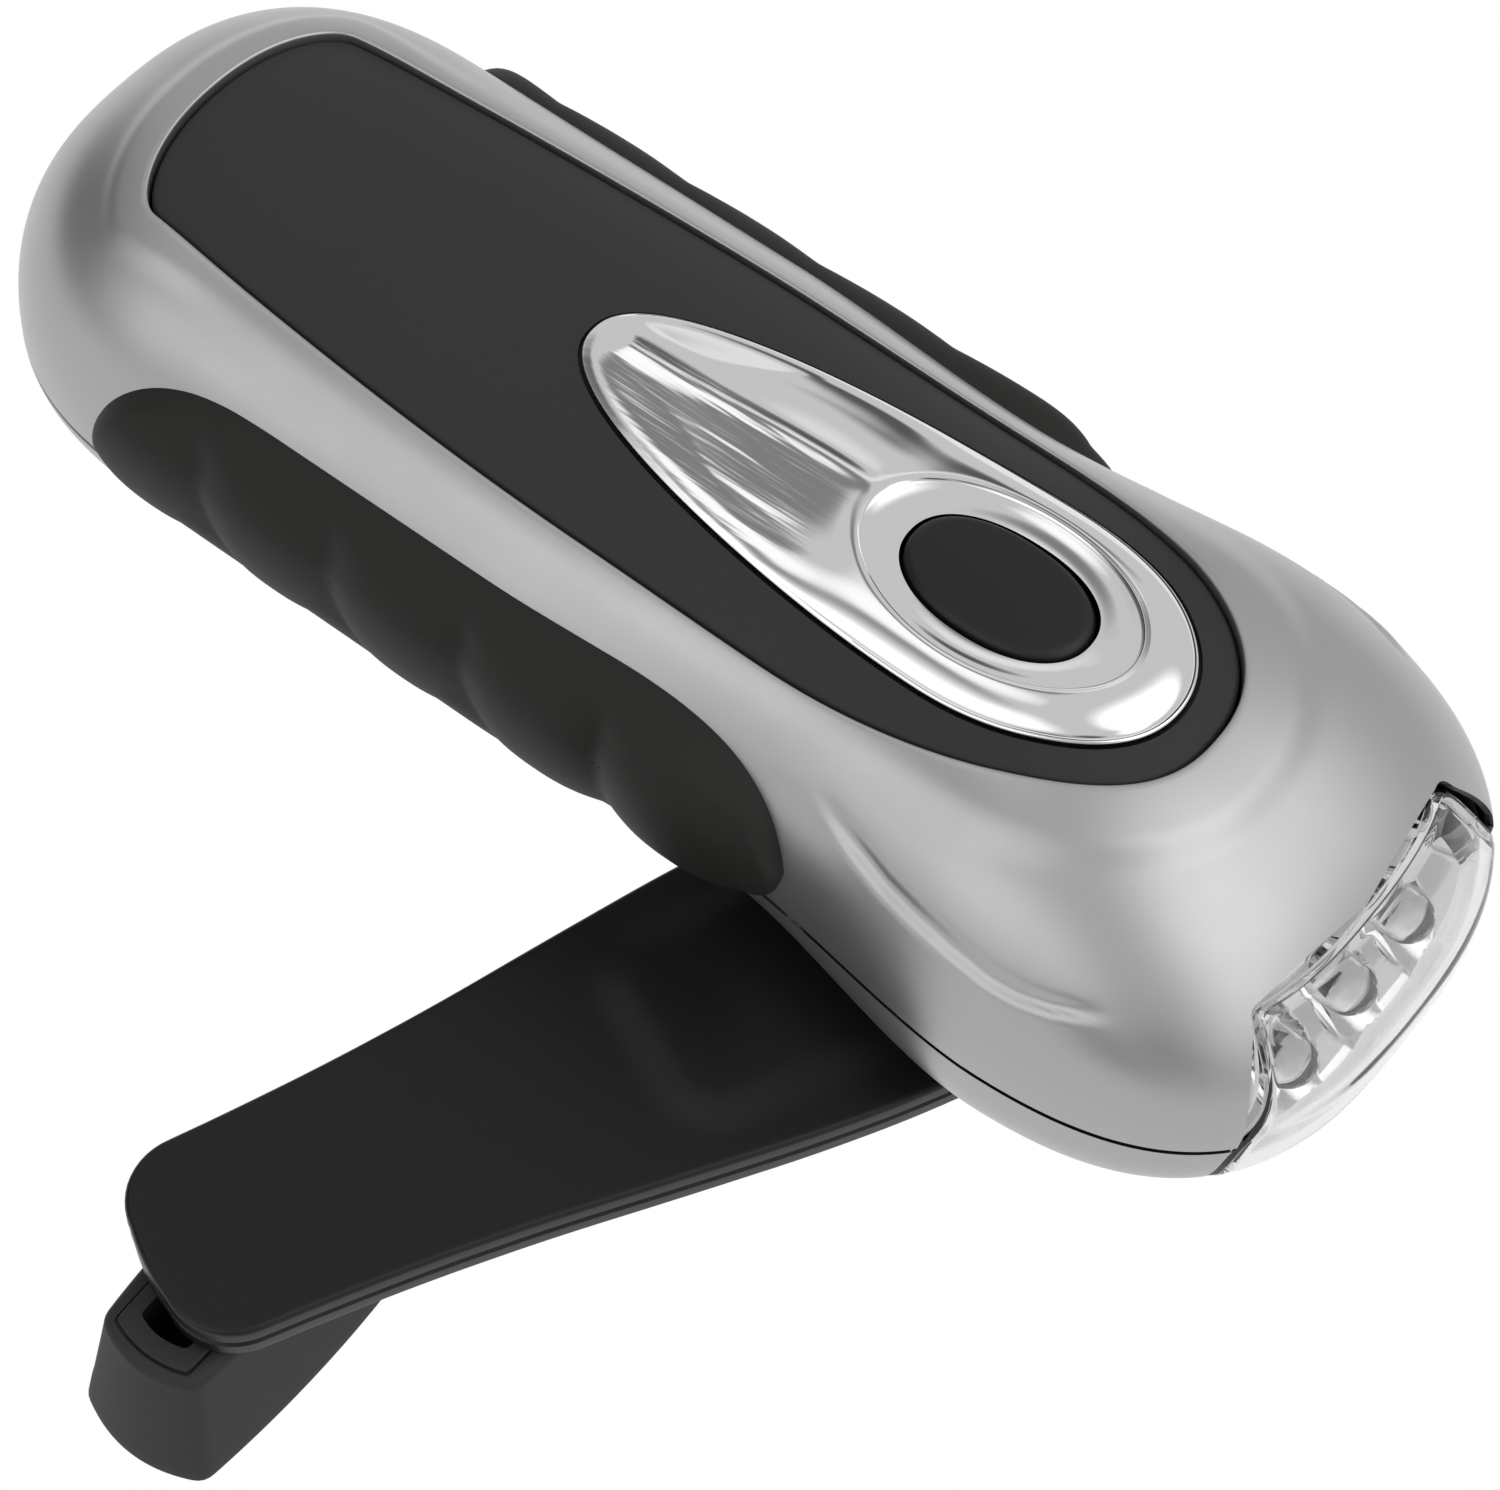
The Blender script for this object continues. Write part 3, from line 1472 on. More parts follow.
@dataclass(frozen=True)
class GripSizes:
    """Sizes of the rubber grips, in millimetres."""

    tail: float = -55.8
    nose: float = 26.4
    half_width: float = 28.95
    power: float = 2.15
    bulge: float = 19.7
    roof: float = 16.6
    keel: float = 26.0
    first_notch: float = -41.5
    pitch: float = 15.9
    notches: int = 4
    depth: float = 1.5
    sink: float = 0.35
    edge_round: float = 1.5
    wall: float = 1.2
    stand: float = 0.5
    spine: tuple[float, float, float] = (-46.0, 16.0, 19.2)
    fade: tuple[float, float] = (29.5, -6.5)
    blunt: float = 0.97
    notch_power: float = 2.4
    corner_window: int = 11


class Grip:
    """One rubber grip with its finger lobes."""

    TOP = np.array([[26.4, 19.6], [26.0, 21.4], [24.6, 23.7], [22.6, 25.4], [20.2, 26.7], [17.5, 27.6],
                    [14.2, 28.3], [8.0, 28.9], [0.0, 29.0], [-20.0, 29.0], [-38.0, 29.0], [-43.0, 28.7],
                    [-47.0, 27.7], [-50.0, 26.2], [-52.4, 24.0], [-54.3, 21.0], [-55.4, 18.0], [-55.8, 15.5]])
    BOTTOM = np.array([[26.4, 19.6], [26.3, 17.6], [25.7, 15.4], [24.4, 13.0], [22.4, 11.0], [19.6, 9.8],
                       [15.0, 9.1], [8.0, 9.0], [-20.0, 9.0], [-44.0, 9.0], [-49.0, 9.3], [-52.6, 10.4],
                       [-54.8, 12.6], [-55.8, 15.5]])
    LINE_POINTS = 150
    EDGE_ROWS = 9
    ROWS = 30

    def __init__(self, side: int, sizes: GripSizes = GripSizes()) -> None:
        """Keeps the side, 1 for the far grip and -1 for the near one, and the sizes."""
        self.side = side
        self.sizes = sizes

    def even(self, line: Array) -> Array:
        """Spreads a line of the outline evenly and rounds its corners.

        Args:
            line: Corners of the line, one row each.

        Returns:
            The line's points, one row each.
        """
        fine = resample(line, self.LINE_POINTS)
        soft = np.column_stack([moving_mean(part, self.sizes.corner_window) for part in fine.T])
        soft[0], soft[-1] = fine[0], fine[-1]
        return soft

    def outline(self) -> Array:
        """Gives the outline seen from the side, as places along and heights."""
        top, bottom = (self.even(line) for line in (self.TOP, self.BOTTOM))
        return np.vstack([top, bottom[1:-1][::-1]])

    def surface(self, x: Array, z: Array) -> Array:
        """Gives how far out the rubber stands.

        Args:
            x: Places along the torch, in mm.
            z: Heights, in mm.

        Returns:
            Distances from the torch's middle plane, in mm.
        """
        s = self.sizes
        up = np.clip((z - s.bulge) / s.roof, 0.0, 1.0)
        down = np.clip((s.bulge - z) / s.keel, 0.0, 1.0)
        section = np.where(z > s.bulge, (1.0 - up**s.power) ** (1.0 / s.power), np.sqrt(1.0 - down**2))
        first = s.first_notch - s.pitch / 2.0
        phase = (x - first) / s.pitch
        lobe = np.abs(phase - np.rint(phase)) * 2.0
        inside = (x > s.first_notch - s.pitch) & (x < s.first_notch + s.pitch * s.notches)
        groove = s.depth * np.where(inside, np.clip(lobe, 0.0, s.blunt), s.blunt) ** s.notch_power
        return s.half_width * section - groove * ease(z, s.fade)

    def build(self) -> bpy.types.Object:
        """Models the grip.

        Returns:
            The grip.
        """
        s = self.sizes
        outer = self.outline()
        spine = on_spine(outer, *s.spine)
        turns = np.linspace(0.0, 90.0, self.EDGE_ROWS)
        plan, climbed = draw_in(outer, spine, s.edge_round, turns, self.ROWS)
        x, z = plan[:, :, 0], plan[:, :, 1]
        low = FORM.side(x, z) - s.sink
        high = np.maximum(self.surface(x, z), low + s.stand)
        y = low + (high - low) * climbed[:, None]
        side = "left" if self.side > 0 else "right"
        obj = grid_object(f"rubber_grip_{side}", np.dstack([x, self.side * y, z])[::-1])
        thicken(obj, s.wall)
        shade(obj, 60.0)
        return place(obj, RUBBER, "grip_rubber", Body.HOUSING, f"grip_{side}")


# ---------------------------------------------------------------- window, reflector and lamps

@dataclass(frozen=True)
class LampSizes:
    """Sizes of the lens, the reflector and the lamps, in millimetres."""

    lens_wall: float = 1.6
    back: float = 60.6
    lamp_pitch: float = 9.5
    lamp_height: float = 12.0
    lamp_radius: float = 2.5
    flange_radius: float = 2.9
    flange: float = 1.0
    lamp_back: float = 64.4
    lamp_tip: float = 73.0
    cup_throat: float = 2.85
    cup_mouth: float = 4.75
    cup_back: float = 66.2
    shelf_height: float = 8.0
    ridge_front: float = 72.7
    ridge_slope: float = 0.86
    plate: float = 0.8
    middle_half: float = 9.0
    middle_height: float = 12.5
    skirts: tuple[float, ...] = (1.8, 0.8, 0.15)
    edge_shares: tuple[float, float] = (1.0 - 0.25 / 20.0, 1.0 - 0.2 / 10.0)
    plate_gap: float = 0.5
    plate_top: float = 1.2
    plate_play: float = 0.6
    plate_least: float = 12.0
    shelf_round: float = 0.5
    cup_rim: float = 1.2
    cup_power: float = 0.9
    flange_round: float = 0.15
    post: float = 0.45
    post_round: float = 0.08
    chip_at: float = 69.0
    chip_radius: float = 0.55
    chip_flat: float = 0.45


class FrontEnd:
    """The clear lens, the plated reflector and the three lamps."""

    GRID = (190, 104)
    HALF_POINTS = 110
    LENS_ROWS = 44
    ROW_POWER = 1.6
    LAMP_SIDES = 48
    CUP_SIDES = 28
    POSTS = ((-0.75, 1.1, 68.6), (0.85, 0.45, 68.4))
    CUP = ((0.35, 68.5), (0.8, 68.5), (0.95, 69.3), (0.82, 69.3), (0.55, 68.8), (0.02, 68.8))

    def __init__(self, sizes: LampSizes = LampSizes()) -> None:
        """Keeps the sizes of the lens, the reflector and the lamps."""
        self.sizes = sizes

    def fill(self, grow: float, inset: float, rings: int) -> tuple[Array, Array, Array]:
        """Gives a grid over the window, edge first, with how far forward the nose stands there.

        Args:
            grow: How far outside the window's own edge, in mm.
            inset: How far inside the outer form, in mm.
            rings: How many rows run in to the middle.

        Returns:
            Places across, heights and places along, as grids.
        """
        loop = mirror_loop(resample(WINDOW.half_outline(grow), self.HALF_POINTS), (-1.0, 1.0))
        middle = on_spine(loop, -self.sizes.middle_half, self.sizes.middle_half, self.sizes.middle_height)
        shares = 1.0 - (1.0 - np.linspace(0.0, 1.0, rings)) ** self.ROW_POWER
        grid = loop[None] + (middle - loop)[None] * shares[:, None, None]
        y, z = grid[:, :, 0], grid[:, :, 1]
        return y, z, FORM.front(y, z, inset)

    def lens(self) -> bpy.types.Object:
        """Models the lens: the nose's own form inside the window, with a wall and side skirts.

        Returns:
            The lens.
        """
        s = self.sizes
        y, z, x = self.fill(0.0, 0.0, self.LENS_ROWS)
        skirts = [np.dstack([x[:1] - depth, y[:1], z[:1]]) for depth in s.skirts]
        face = np.dstack([x, y, z])
        face[0, :, 1] *= s.edge_shares[0]
        face[0, :, 2] = s.middle_height + (face[0, :, 2] - s.middle_height) * s.edge_shares[1]
        obj = grid_object("clear_front_lens", np.concatenate(skirts + [face], axis=0)[::-1])
        thicken(obj, s.lens_wall)
        shade(obj, 35.0)
        return place(obj, CLEAR, "lens_clear", Body.HOUSING, "front_lens")

    def reflector(self) -> bpy.types.Object:
        """Models the plated reflector: a slanted face with a flared cup for each lamp.

        Returns:
            The reflector.
        """
        s = self.sizes
        columns, rows = self.GRID
        outline = WINDOW.half_outline(-s.lens_wall - s.plate_gap)
        heights = np.linspace(outline[:, 1].min(), outline[:, 1].max() - s.plate_top, rows)
        rising = outline[np.argsort(outline[:, 1], kind="stable")][5:-5]
        widest = np.maximum(np.interp(heights, rising[:, 1], rising[:, 0]), s.plate_least)
        y = np.linspace(-1.0, 1.0, columns)[None] * widest[:, None]
        z = np.repeat(heights[:, None], columns, axis=1)
        inner = FORM.front(y, z, 0.0) - s.lens_wall - s.plate_play
        slant = s.ridge_front - s.ridge_slope * np.clip(z - s.shelf_height, 0.0, None)
        shelf = ease(z, (s.shelf_height, -s.shelf_round))
        face = np.minimum(slant + (inner - slant) * shelf, inner)
        for index in (-1, 0, 1):
            radius = np.hypot(y - index * s.lamp_pitch, z - s.lamp_height)
            share = np.clip((radius - s.cup_throat) / (s.cup_mouth - s.cup_throat), 0.0, None)
            cup = s.cup_back + (s.ridge_front - s.cup_back) * share**s.cup_power
            face = np.where(radius > s.cup_mouth + s.cup_rim, face, np.minimum(face, cup))
        face = np.maximum(face, s.back + 1.0)
        obj = grid_object("plated_reflector", np.dstack([face, y, z]), False)
        thicken(obj, s.plate)
        shade(obj, 28.0)
        return place(obj, PLATED, "reflector_bright", Body.HOUSING, "reflector")

    def turned(self, name: str, profile: list[tuple[float, float]], y: float,
               count: int) -> bpy.types.Object:
        """Turns a profile of radius and place along, round the axis of a lamp at y."""
        height = self.sizes.lamp_height
        return grid_object(name, np.array([
            [(along, y + radius * math.cos(turn), height + radius * math.sin(turn))
             for turn in full_turn(count)] for radius, along in profile]))

    def lamp(self, index: int) -> None:
        """Models one lamp with its domed tip, flange and lead frame.

        Args:
            index: Which lamp, 0 to 2.
        """
        s = self.sizes
        y = (index - 1) * s.lamp_pitch
        front, wide, narrow = s.lamp_back + s.flange, s.flange_radius, s.flange_radius - s.flange_round
        profile = [(0.0, s.lamp_back), (narrow, s.lamp_back), (wide, s.lamp_back + s.flange_round),
                   (wide, front - s.flange_round), (narrow, front), (s.lamp_radius, front)]
        dome = s.lamp_tip - s.lamp_radius
        for angle in np.radians(np.linspace(0.0, 90.0, 14)):
            profile.append((s.lamp_radius * math.cos(angle), dome + s.lamp_radius * math.sin(angle)))
        body = self.turned(f"clear_lamp_{index + 1}", profile, y, self.LAMP_SIDES)
        shade(body, 40.0)
        place(body, LAMP_CLEAR, "lamp_clear", Body.HOUSING, f"lamp_{index + 1}")
        self.lead_frame(index, y)

    def lead_frame(self, index: int, y: float) -> None:
        """Models the two posts, the cup and the chip inside a lamp.

        Args:
            index: Which lamp, 0 to 2.
            y: Place of the lamp across the torch.
        """
        s = self.sizes
        made = []
        for across, width, high in self.POSTS:
            only()
            bpy.ops.mesh.primitive_cube_add(size=1.0)
            bar = bpy.context.object
            bar.scale = ((high - s.lamp_back) * MM, width * MM, s.post * MM)
            bar.location = ((s.lamp_back + high) / 2.0 * MM, (y + across) * MM, s.lamp_height * MM)
            bpy.ops.object.transform_apply(location=True, rotation=True, scale=True)
            soften(bar, s.post_round, 2)
            made.append(bar)
        made.append(self.turned("cup", self.CUP, y - s.post, self.CUP_SIDES))
        only(made[0])
        for piece in made:
            piece.select_set(True)
        bpy.ops.object.join()
        place(named(f"lamp_lead_frame_{index + 1}"), STEEL, "steel", Body.HOUSING)
        only()
        bpy.ops.mesh.primitive_uv_sphere_add(segments=24, ring_count=12, radius=s.chip_radius * MM)
        chip = named(f"lamp_phosphor_{index + 1}")
        chip.scale = (s.chip_flat, 1.0, 1.0)
        chip.location = (s.chip_at * MM, (y - s.post) * MM, s.lamp_height * MM)
        bpy.ops.object.transform_apply(location=True, rotation=True, scale=True)
        shade(chip, 60.0)
        place(chip, PHOSPHOR, "lamp_clear", Body.HOUSING)

    def build(self) -> None:
        """Builds the front end."""
        self.lens()
        self.reflector()
        for index in range(3):
            self.lamp(index)


# ---------------------------------------------------------------- crank

@dataclass(frozen=True)
class ArmSizes:
    """Sizes of the crank arm, in millimetres. Places run out from the crank's axis."""

    pivot_x: float = 37.8
    turn: float = 24.4
    hub: float = 16.4
    reach: float = 91.5
    corner: float = 6.5
    top: float = -1.2
    split: float = -3.2
    lower_top: float = -3.75
    bottom: float = -5.8
    edge_round: float = 0.6
    pad_half: float = 8.2
    pad_reach: float = 44.0
    pad_lift: float = 0.5
    pad_round: float = 7.0
    pad_zone: tuple[float, float] = (-0.5, 5.0)
    pad_spread: float = 4.0
    lower_inset: float = 0.1
    tip_bow: float = 0.35
    seat_round: float = 0.25
    spine: tuple[float, float] = (2.0, 80.0)
    axle_reach: float = 82.0
    screw_reach: tuple[float, float] = (26.0, 60.0)


class CrankArm:
    """The two halves of the crank arm. A hole has radius, low and high end."""

    POINTS = 150
    FINE_POINTS = 400
    WIDTH_WINDOW = 41
    EDGE_ROWS = 8
    FACE_ROWS = 34
    AXIS_HOLES = {True: ((4.3, -4.0, 1.0),), False: ((8.2, -7.0, -5.0), (3.2, -7.0, -3.0))}
    AXLE_HOLES = {True: (3.5, -4.0, -2.0), False: (1.9, -7.0, -3.0)}
    SCREW_HOLES = ((2.5, -7.0, -4.2), (1.4, -7.0, -3.0))

    WIDTHS = np.array([[0.0, 16.4], [12.0, 16.4], [22.0, 16.35], [32.0, 15.6], [38.5, 14.8], [45.0, 14.0],
                       [51.0, 13.2], [57.0, 12.4], [63.0, 11.8], [69.0, 11.25], [75.0, 10.9], [80.0, 10.65],
                       [84.0, 10.5], [92.0, 10.4]])

    def __init__(self, sizes: ArmSizes = ArmSizes()) -> None:
        """Keeps the sizes of the arm."""
        self.sizes = sizes

    def outline(self, inset: float, count: int) -> Array:
        """Gives the arm's outline as reach and offset pairs, from the tip round one side to the hub.

        Args:
            inset: How far inside the arm's full outline, in mm.
            count: How many points to give.

        Returns:
            Reach and offset of each point, one row each.
        """
        s = self.sizes
        fine = np.linspace(0.0, self.WIDTHS[-1, 0], self.FINE_POINTS)
        width = moving_mean(np.interp(fine, *self.WIDTHS.T), self.WIDTH_WINDOW)
        end_half = float(np.interp(s.reach - s.corner, fine, width))
        points = []
        flat = end_half - s.corner
        shoulder = s.reach - s.corner
        for t in np.linspace(0.0, 1.0, 12, endpoint=False):
            points.append((s.reach - s.tip_bow * t**2, flat * t))
        for angle in np.radians(np.linspace(0.0, 90.0, 22)):
            points.append((shoulder - s.tip_bow + s.corner * math.cos(angle),
                           flat + s.corner * math.sin(angle)))
        for at in np.linspace(shoulder - 1.0, 1.0, 120):
            points.append((at, float(np.interp(at, fine, width))))
        for angle in np.radians(np.linspace(90.0, 180.0, 40)):
            points.append((s.hub * math.cos(angle), s.hub * math.sin(angle)))
        half = resample(np.array(points), count)
        if inset > 0.0:
            step = np.gradient(half, axis=0)
            normal = np.column_stack([-step[:, 1], step[:, 0]])
            normal /= np.maximum(np.linalg.norm(normal, axis=1, keepdims=True), 1e-9)
            half = half + normal * inset
            half[0, 1] = 0.0
            half[-1, 1] = 0.0
        return mirror_loop(half)

    def to_frame(self, reach: Array | float, offset: Array | float = 0.0) -> tuple[Array, Array]:
        """Turns reach and offset into plan places.

        Args:
            reach: How far out from the crank's axis, in mm.
            offset: How far to the side of the arm's middle line, in mm.

        Returns:
            Places along and across the torch.
        """
        s = self.sizes
        sine, cosine = math.sin(math.radians(s.turn)), math.cos(math.radians(s.turn))
        return s.pivot_x - reach * sine + offset * cosine, -reach * cosine - offset * sine

    def half(self, name: str, node: str, low: float, high: float, inset: float,
             upper: bool) -> bpy.types.Object:
        """Models one half of the arm as a rounded plate, with the pad on the upper one.

        Args:
            name: Name of the object.
            node: The CAD node that it stands for.
            low: Height of its lower face, in mm.
            high: Height of its upper face, in mm.
            inset: How far inside the arm's full outline, in mm.
            upper: Whether it is the upper half.

        Returns:
            The half.
        """
        s = self.sizes
        outer = self.outline(inset, self.POINTS)
        spine = on_spine(outer, *s.spine)
        ray = (spine - outer) / np.linalg.norm(spine - outer, axis=1)[:, None]
        face, seat, out = (high, low, 1.0) if upper else (low, high, -1.0)
        turns = np.linspace(0.0, 90.0, self.EDGE_ROWS)
        plan, climbed = draw_in(outer, spine, s.edge_round, turns, self.FACE_ROWS)
        plan = np.concatenate([[outer + ray * s.seat_round, outer], plan])
        heights = np.concatenate([[seat, seat + out * s.seat_round],
                                  face - out * s.edge_round * (1.0 - climbed)])
        z = np.repeat(heights[:, None], len(outer), axis=1)
        if upper:
            over = np.maximum(np.abs(plan[:, :, 1]) - (s.pad_half - s.pad_round + s.pad_spread), 0.0)
            past = np.maximum(plan[:, :, 0] - (s.pad_reach - s.pad_round), 0.0)
            lift = s.pad_lift * ease(s.pad_round - np.hypot(over, past), s.pad_zone)
            lift[:-self.FACE_ROWS] = 0.0
            z = z + lift
        x, y = self.to_frame(plan[:, :, 0], plan[:, :, 1])
        obj = edit(grid_object(name, np.dstack([x, y, z])[::-1]), fill_ends)
        self.drill(obj, upper)
        shade(obj, 35.0)
        return place(obj, ARM_BLACK, "arm_black", Body.CRANK, node)

    def drill(self, obj: bpy.types.Object, upper: bool) -> None:
        """Cuts the holes for the shaft, the axle and the screws.

        Args:
            obj: The half.
            upper: Whether it is the upper half.
        """
        s = self.sizes
        holes = [(hole, (s.pivot_x, 0.0)) for hole in self.AXIS_HOLES[upper]]
        holes.append((self.AXLE_HOLES[upper], self.to_frame(s.axle_reach)))
        if not upper:
            holes += [(hole, self.to_frame(reach)) for reach in s.screw_reach for hole in self.SCREW_HOLES]
        for hole, at in holes:
            cut(obj, cylinder("cutter", *hole, *at))

    def build(self) -> None:
        """Builds both halves."""
        s = self.sizes
        self.half("crank_arm_top_half", "crank_arm_upper", s.split, s.top, 0.0, True)
        self.half("crank_arm_bottom_half", "crank_arm_lower", s.bottom, s.lower_top, s.lower_inset, False)


@dataclass(frozen=True)
class KnobSizes:
    """Sizes of the crank knob, in millimetres."""

    x: float = 3.926
    y: float = -74.676
    top: float = -6.7
    bottom: float = -22.3
    top_corner: tuple[float, float] = (5.7, 13.2)
    top_middle: tuple[float, float] = (6.5, 14.9)
    low_corner: tuple[float, float] = (7.3, 15.3)
    low_middle: tuple[float, float] = (8.2, 17.4)
    corner_round: float = 1.0
    edge_round: float = 1.3
    foot_round: float = 1.0
    frame_half: tuple[float, float] = (4.2, 12.6)
    slot_half: tuple[float, float] = (2.75, 11.0)
    frame_bow: tuple[float, float] = (0.15, 0.9)
    frame_lift: float = 0.45
    frame_sink: float = 1.2
    frame_round: float = 0.18
    frame_corner: float = 0.25
    groove: float = 0.25
    groove_depth: float = 0.35
    slot_bow: tuple[float, float] = (0.1, 0.6)
    slot_depth: float = 9.0
    slot_corner: float = 0.3
    hub: float = 3.8
    past: float = 2.0


class Knob:
    """The crank knob with its framed slot. A bore has radius, depth from the foot and sides."""

    BORES = ((1.9, 17.6, 40), (4.7, 1.3, 64), (3.5, 2.9, 64))
    SIDE_POINTS = 60
    END_POINTS = 40
    QUARTER_POINTS = 40
    RINGS = 12

    def __init__(self, sizes: KnobSizes = KnobSizes()) -> None:
        """Keeps the sizes of the knob."""
        self.sizes = sizes

    def boat(self, corner: tuple[float, float], middle: tuple[float, float], fillet: float) -> Array:
        """Gives an outline with bulging sides and ends and crisp corners, 100 points round.

        Args:
            corner: Half-width and half-length at the corners.
            middle: Half-width and half-length at the middle of the sides and ends.
            fillet: Radius of the corners.

        Returns:
            Plan points, one row each.
        """
        (wide, far), (bow_wide, bow_far) = corner, middle
        side = [(bow_wide - (bow_wide - wide) * t**2, far * t)
                for t in np.linspace(0.0, 1.0, self.SIDE_POINTS)]
        end = [(wide * t, bow_far - (bow_far - far) * t**2) for t in np.linspace(1.0, 0.0, self.END_POINTS)]
        quarter = np.array(side + end[1:])
        gap = np.linalg.norm(quarter - np.array(corner), axis=1)
        on_side = np.arange(len(quarter)) < self.SIDE_POINTS
        before = quarter[(gap > fillet) & on_side]
        after = quarter[(gap > fillet) & ~on_side]
        t = np.linspace(0.0, 1.0, 12)[1:-1, None]
        bend = (1 - t) ** 2 * before[-1] + 2 * t * (1 - t) * np.array(corner) + t * t * after[0]
        quarter = resample(np.vstack([before, bend, after]), self.QUARTER_POINTS)
        second = (quarter * np.array([-1.0, 1.0]))[::-1]
        third = quarter * np.array([-1.0, -1.0])
        fourth = (quarter * np.array([1.0, -1.0]))[::-1]
        return np.vstack([quarter, second[1:], third[1:], fourth[1:-1]])

    def ring(self, share: float, inset: float, height: float) -> Array:
        """Gives one ring of the body, share 0 at the top and 1 at the bottom.

        Args:
            share: Place from top to bottom, 0 to 1.
            inset: How far inside the knob's own side, in mm.
            height: Height of the ring, in mm.

        Returns:
            The ring's points, one row each.
        """
        s = self.sizes
        corner, middle = (tuple(top + (low - top) * share - inset for top, low in zip(*pair))
                          for pair in ((s.top_corner, s.low_corner), (s.top_middle, s.low_middle)))
        loop = self.boat(corner, middle, max(s.corner_round - inset * 0.3, 0.3))
        return np.column_stack([loop[:, 0] + s.x, loop[:, 1] + s.y, np.full(len(loop), height)])

    def build(self) -> None:
        """Models the knob."""
        s = self.sizes
        rings = []
        for angle in np.radians(np.linspace(90.0, 0.0, 8)):
            rings.append(self.ring(1.0, s.foot_round * (1.0 - math.cos(angle)),
                                   s.bottom + s.foot_round * (1.0 - math.sin(angle))))
        span = s.top - s.edge_round - s.bottom - s.foot_round
        for i in range(1, self.RINGS):
            rings.append(self.ring(1.0 - i / self.RINGS, 0.0,
                                   s.bottom + s.foot_round + span * i / self.RINGS))
        for angle in np.radians(np.linspace(0.0, 90.0, 9)):
            rings.append(self.ring(0.0, s.edge_round * (1.0 - math.cos(angle)),
                                   s.top - s.edge_round * (1.0 - math.sin(angle))))
        obj = edit(grid_object("turning_crank_knob", np.array(rings)), fill_ends)

        def solid(half: tuple[float, float], bow: tuple[float, float], grow: float, corner: float,
                  low: float, high: float) -> bpy.types.Object:
            """Gives a boat-shaped solid through the knob's top.

            Args:
                half: Half-width and half-length at the corners.
                bow: How much further the middle of the sides and ends stands out.
                grow: How much larger it is all round, in mm.
                corner: Radius of the corners.
                low: How far it reaches under the top, in mm.
                high: How far it reaches over the top, in mm.

            Returns:
                The solid.
            """
            corners = (half[0] + grow, half[1] + grow)
            loop = self.boat(corners, (corners[0] + bow[0], corners[1] + bow[1]), corner)
            return prism("cutter", loop + np.array([s.x, s.y]), s.top - low, s.top + high)

        cut(obj, solid(s.frame_half, s.frame_bow, s.groove, s.slot_corner, s.groove_depth, s.past))
        rim = solid(s.frame_half, s.frame_bow, 0.0, s.frame_corner, s.frame_sink, s.frame_lift)
        soften(rim, s.frame_round, 3, 60.0)
        cut(obj, rim, "UNION")
        hole = solid(s.slot_half, s.slot_bow, 0.0, s.slot_corner, s.slot_depth, s.past)
        cut(hole, cylinder("hub", s.hub, s.top - s.slot_depth - 0.5, s.top + s.frame_lift, s.x, s.y))
        cut(obj, hole)
        for radius, depth, sides in self.BORES:
            cut(obj, cylinder("cutter", radius, s.bottom - s.past, s.bottom + depth, s.x, s.y, sides))
        shade(obj, 35.0)
        place(obj, KNOB_BLACK, "knob_black", Body.KNOB, "crank_knob")


@dataclass(frozen=True)
class ScrewSizes:
    """Sizes of a screw with a cross recess, in millimetres."""

    shank: float = 1.1
    head_height: float = 1.1
    head_round: float = 0.25
    recess_reach: float = 1.35
    recess_half: float = 0.32
    recess_depth: float = 0.6


class Screw:
    """A screw that shows in the underside, head down."""

    def __init__(self, node: str, body: Body, sizes: ScrewSizes = ScrewSizes()) -> None:
        """Keeps what the screw is made from.

        Args:
            node: The CAD node that it stands for.
            body: The body that it rides on.
            sizes: Its sizes.
        """
        self.node = node
        self.body = body
        self.sizes = sizes

    def build(self) -> bpy.types.Object:
        """Models the screw inside its node's box.

        Returns:
            The screw.
        """
        s = self.sizes
        low, high = (np.array(corner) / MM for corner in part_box(self.node))
        x, y = (low[:2] + high[:2]) / 2.0
        head = (high[0] - low[0]) / 2.0
        obj = cylinder(f"cross_{self.node}", head, low[2], low[2] + s.head_height, x, y, 48)
        soften(obj, s.head_round, 4)
        cut(obj, cylinder("shank", s.shank, low[2] + s.head_height / 2.0, high[2], x, y, 32), "UNION")
        for along, across in ((s.recess_reach, s.recess_half), (s.recess_half, s.recess_reach)):
            bar = np.array([[along, -across], [along, across], [-along, across], [-along, -across]])
            cut(obj, prism("recess", bar + np.array([x, y]), low[2] - 1.0, low[2] + s.recess_depth))
        shade(obj, 40.0)
        return place(obj, STEEL, "steel", self.body, self.node)


# ---------------------------------------------------------------- studio

@dataclass(frozen=True)
class Glow:
    """A soft bright or dark part of the studio round the object."""

    toward: tuple[float, float, float]
    spread: float
    level: float


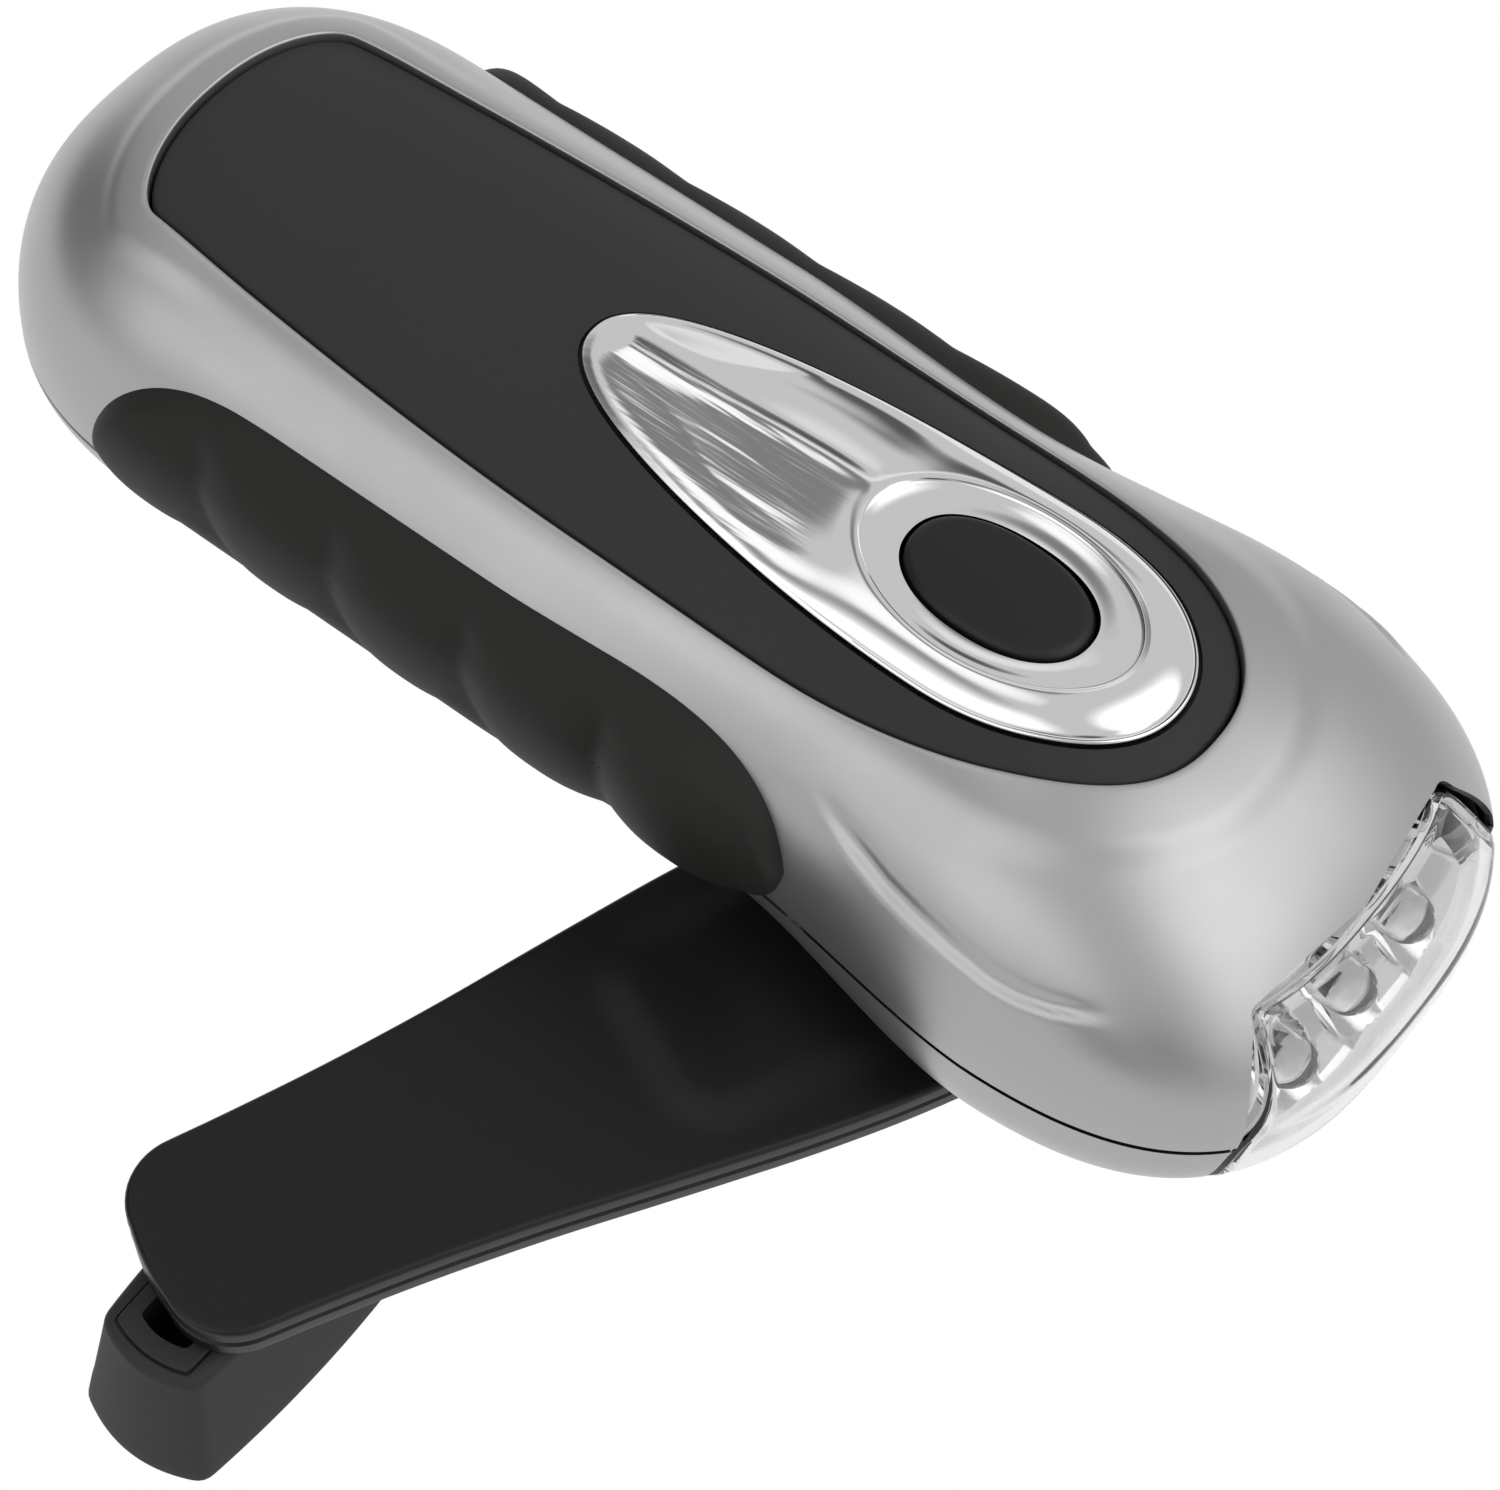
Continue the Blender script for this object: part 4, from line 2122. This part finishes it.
@dataclass(frozen=True)
class Studio:
    """The camera of the photograph and a soft, pale studio."""

    camera_at: tuple[float, float, float] = (0.1339, -0.1899, 0.3394)
    azimuth: float = 34.39
    elevation: float = 56.82
    roll: float = 4.03
    focal: float = 101.5
    floor_height: float = -0.0224
    floor_size: float = 8.0
    floor_roughness: float = 0.9
    world: float = 0.72
    darkest: float = 0.03
    sensor: float = 36.0
    clip: tuple[float, float] = (0.01, 20.0)
    bounce: str = "#C4C4C4"
    glows: tuple[Glow, ...] = (
        Glow((-0.33, 0.83, 0.45), 9.0, -0.6),
        Glow((-0.33, 0.62, 0.71), 8.0, 0.25),
        Glow((-0.33, 0.33, 0.88), 12.0, -0.45),
        Glow((-0.33, -0.05, 0.94), 15.0, 0.6),
        Glow((-0.31, -0.45, 0.84), 16.0, -0.4),
        Glow((-0.15, -0.82, 0.50), 40.0, 1.0),
        Glow((0.60, 0.25, 0.76), 32.0, 1.5),
        Glow((-0.94, -0.30, 0.18), 48.0, -0.58),
        Glow((0.10, -1.0, -0.05), 45.0, -0.6),
        Glow((0.70, -0.62, 0.35), 14.0, -0.6),
        Glow((0.88, -0.08, 0.46), 17.0, 0.8),
    )

    def camera(self) -> bpy.types.Object:
        """Adds the camera.

        Returns:
            The camera.
        """
        az, el, roll = (math.radians(v) for v in (self.azimuth, self.elevation, self.roll))
        back = Vector((math.sin(az) * math.cos(el), -math.cos(az) * math.cos(el), math.sin(el)))
        right = Vector((0.0, 0.0, 1.0)).cross(back).normalized()
        up = back.cross(right)
        turned = right * math.cos(roll) + up * math.sin(roll)
        upright = right * -math.sin(roll) + up * math.cos(roll)
        matrix = Matrix((turned, upright, back)).transposed().to_4x4()
        matrix.translation = Vector(self.camera_at)
        data = bpy.data.cameras.new("photo_camera")
        data.lens = self.focal
        data.sensor_width = self.sensor
        data.clip_start, data.clip_end = self.clip
        camera = bpy.data.objects.new("photo_camera", data)
        bpy.context.scene.collection.objects.link(camera)
        camera.matrix_world = matrix
        bpy.context.scene.camera = camera
        return camera

    def floor(self) -> bpy.types.Object:
        """Adds the floor: white to the camera and in reflections, grey to the light, clear from below.

        Returns:
            The floor.
        """
        only()
        bpy.ops.mesh.primitive_plane_add(size=self.floor_size, location=(0.0, 0.0, self.floor_height))
        floor = named("studio_floor")
        material = bpy.data.materials.new("white paper")
        tree = Tree(material)
        paper = tree.feed(tree.nodes["Principled BSDF"], {
            "Base Color": linear(self.bounce), "Roughness": self.floor_roughness})
        glow = tree.add("Emission", {"Color": WHITE, "Strength": 1.0})
        rays = tree.add("LightPath", {}).node.outputs
        seen = rays["Is Camera Ray"]
        for ray in ("Is Transmission Ray", "Is Glossy Ray"):
            seen = tree.add("Math", {0: seen, 1: rays[ray]}, operation="ADD", use_clamp=True)
        mix = tree.add("MixShader", {0: seen, 1: paper.outputs["BSDF"], 2: glow})
        below = tree.add("NewGeometry", {}, "Backfacing")
        clear = tree.add("BsdfTransparent", {})
        both = tree.add("MixShader", {0: below, 1: mix, 2: clear})
        tree.feed(tree.nodes["Material Output"], {"Surface": both})
        floor.data.materials.append(material)
        return floor

    def build(self) -> None:
        """Sets the world, floor and camera."""
        scene = bpy.context.scene
        scene.view_settings.view_transform = "Standard"
        scene.world = bpy.data.worlds.new("studio")
        tree = Tree(scene.world)
        place = tree.add("TexCoord", {}, "Generated")
        total = self.world
        for glow in self.glows:
            aim = Vector(glow.toward).normalized()
            near = tree.add("VectorMath", {0: place, 1: aim}, "Value", operation="DOT_PRODUCT")
            span = {"From Min": math.cos(math.radians(glow.spread)), "From Max": 1.0, "To Max": glow.level}
            level = tree.add("MapRange", {"Value": near, **span}, interpolation_type="SMOOTHSTEP")
            total = tree.add("Math", {0: total, 1: level}, operation="ADD")
        lit = tree.add("Math", {0: total, 1: self.darkest}, operation="MAXIMUM")
        camera = tree.add("LightPath", {}, "Is Camera Ray")
        seen = tree.add("Mix", {0: camera, 2: lit, 3: 1.0}, data_type="FLOAT")
        tree.feed(tree.nodes["Background"], {"Color": WHITE, "Strength": seen})
        self.floor()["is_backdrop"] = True
        self.camera()


# ---------------------------------------------------------------- the rest of the part

def dress_plain_nodes() -> None:
    """Gives every CAD node that stays its procedural material."""
    by_node = {entry["node"]: entry["material_slot"] for entry in frame["record"]["subparts"]}
    for name, obj in frame["nodes"].items():
        material = LIBRARY.get(SLOTS[by_node[name]])
        for slot in obj.material_slots:
            slot.material = material
        if not obj.material_slots:
            obj.data.materials.append(material)


def corners() -> list[list[float]]:
    """Gives the lowest and highest corner of what shows, as plain lists."""
    low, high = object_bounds()
    return [[float(v) for v in low], [float(v) for v in high]]


def main() -> None:
    """Builds the visual model."""
    logging.basicConfig(level=logging.INFO, format="%(name)s %(message)s")
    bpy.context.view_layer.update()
    dress_plain_nodes()
    Housing().build()
    TopPanel().build()
    Bezel().build()
    Button().build()
    for side in (1, -1):
        Grip(side).build()
    FrontEnd().build()
    CrankArm().build()
    Knob().build()
    for kind, count, body in (("housing", 4, Body.HOUSING), ("arm", 2, Body.CRANK)):
        for index in range(1, count + 1):
            Screw(f"{kind}_screw_{index}", body).build()
    Studio().build()


if __name__ == "__main__":
    main()
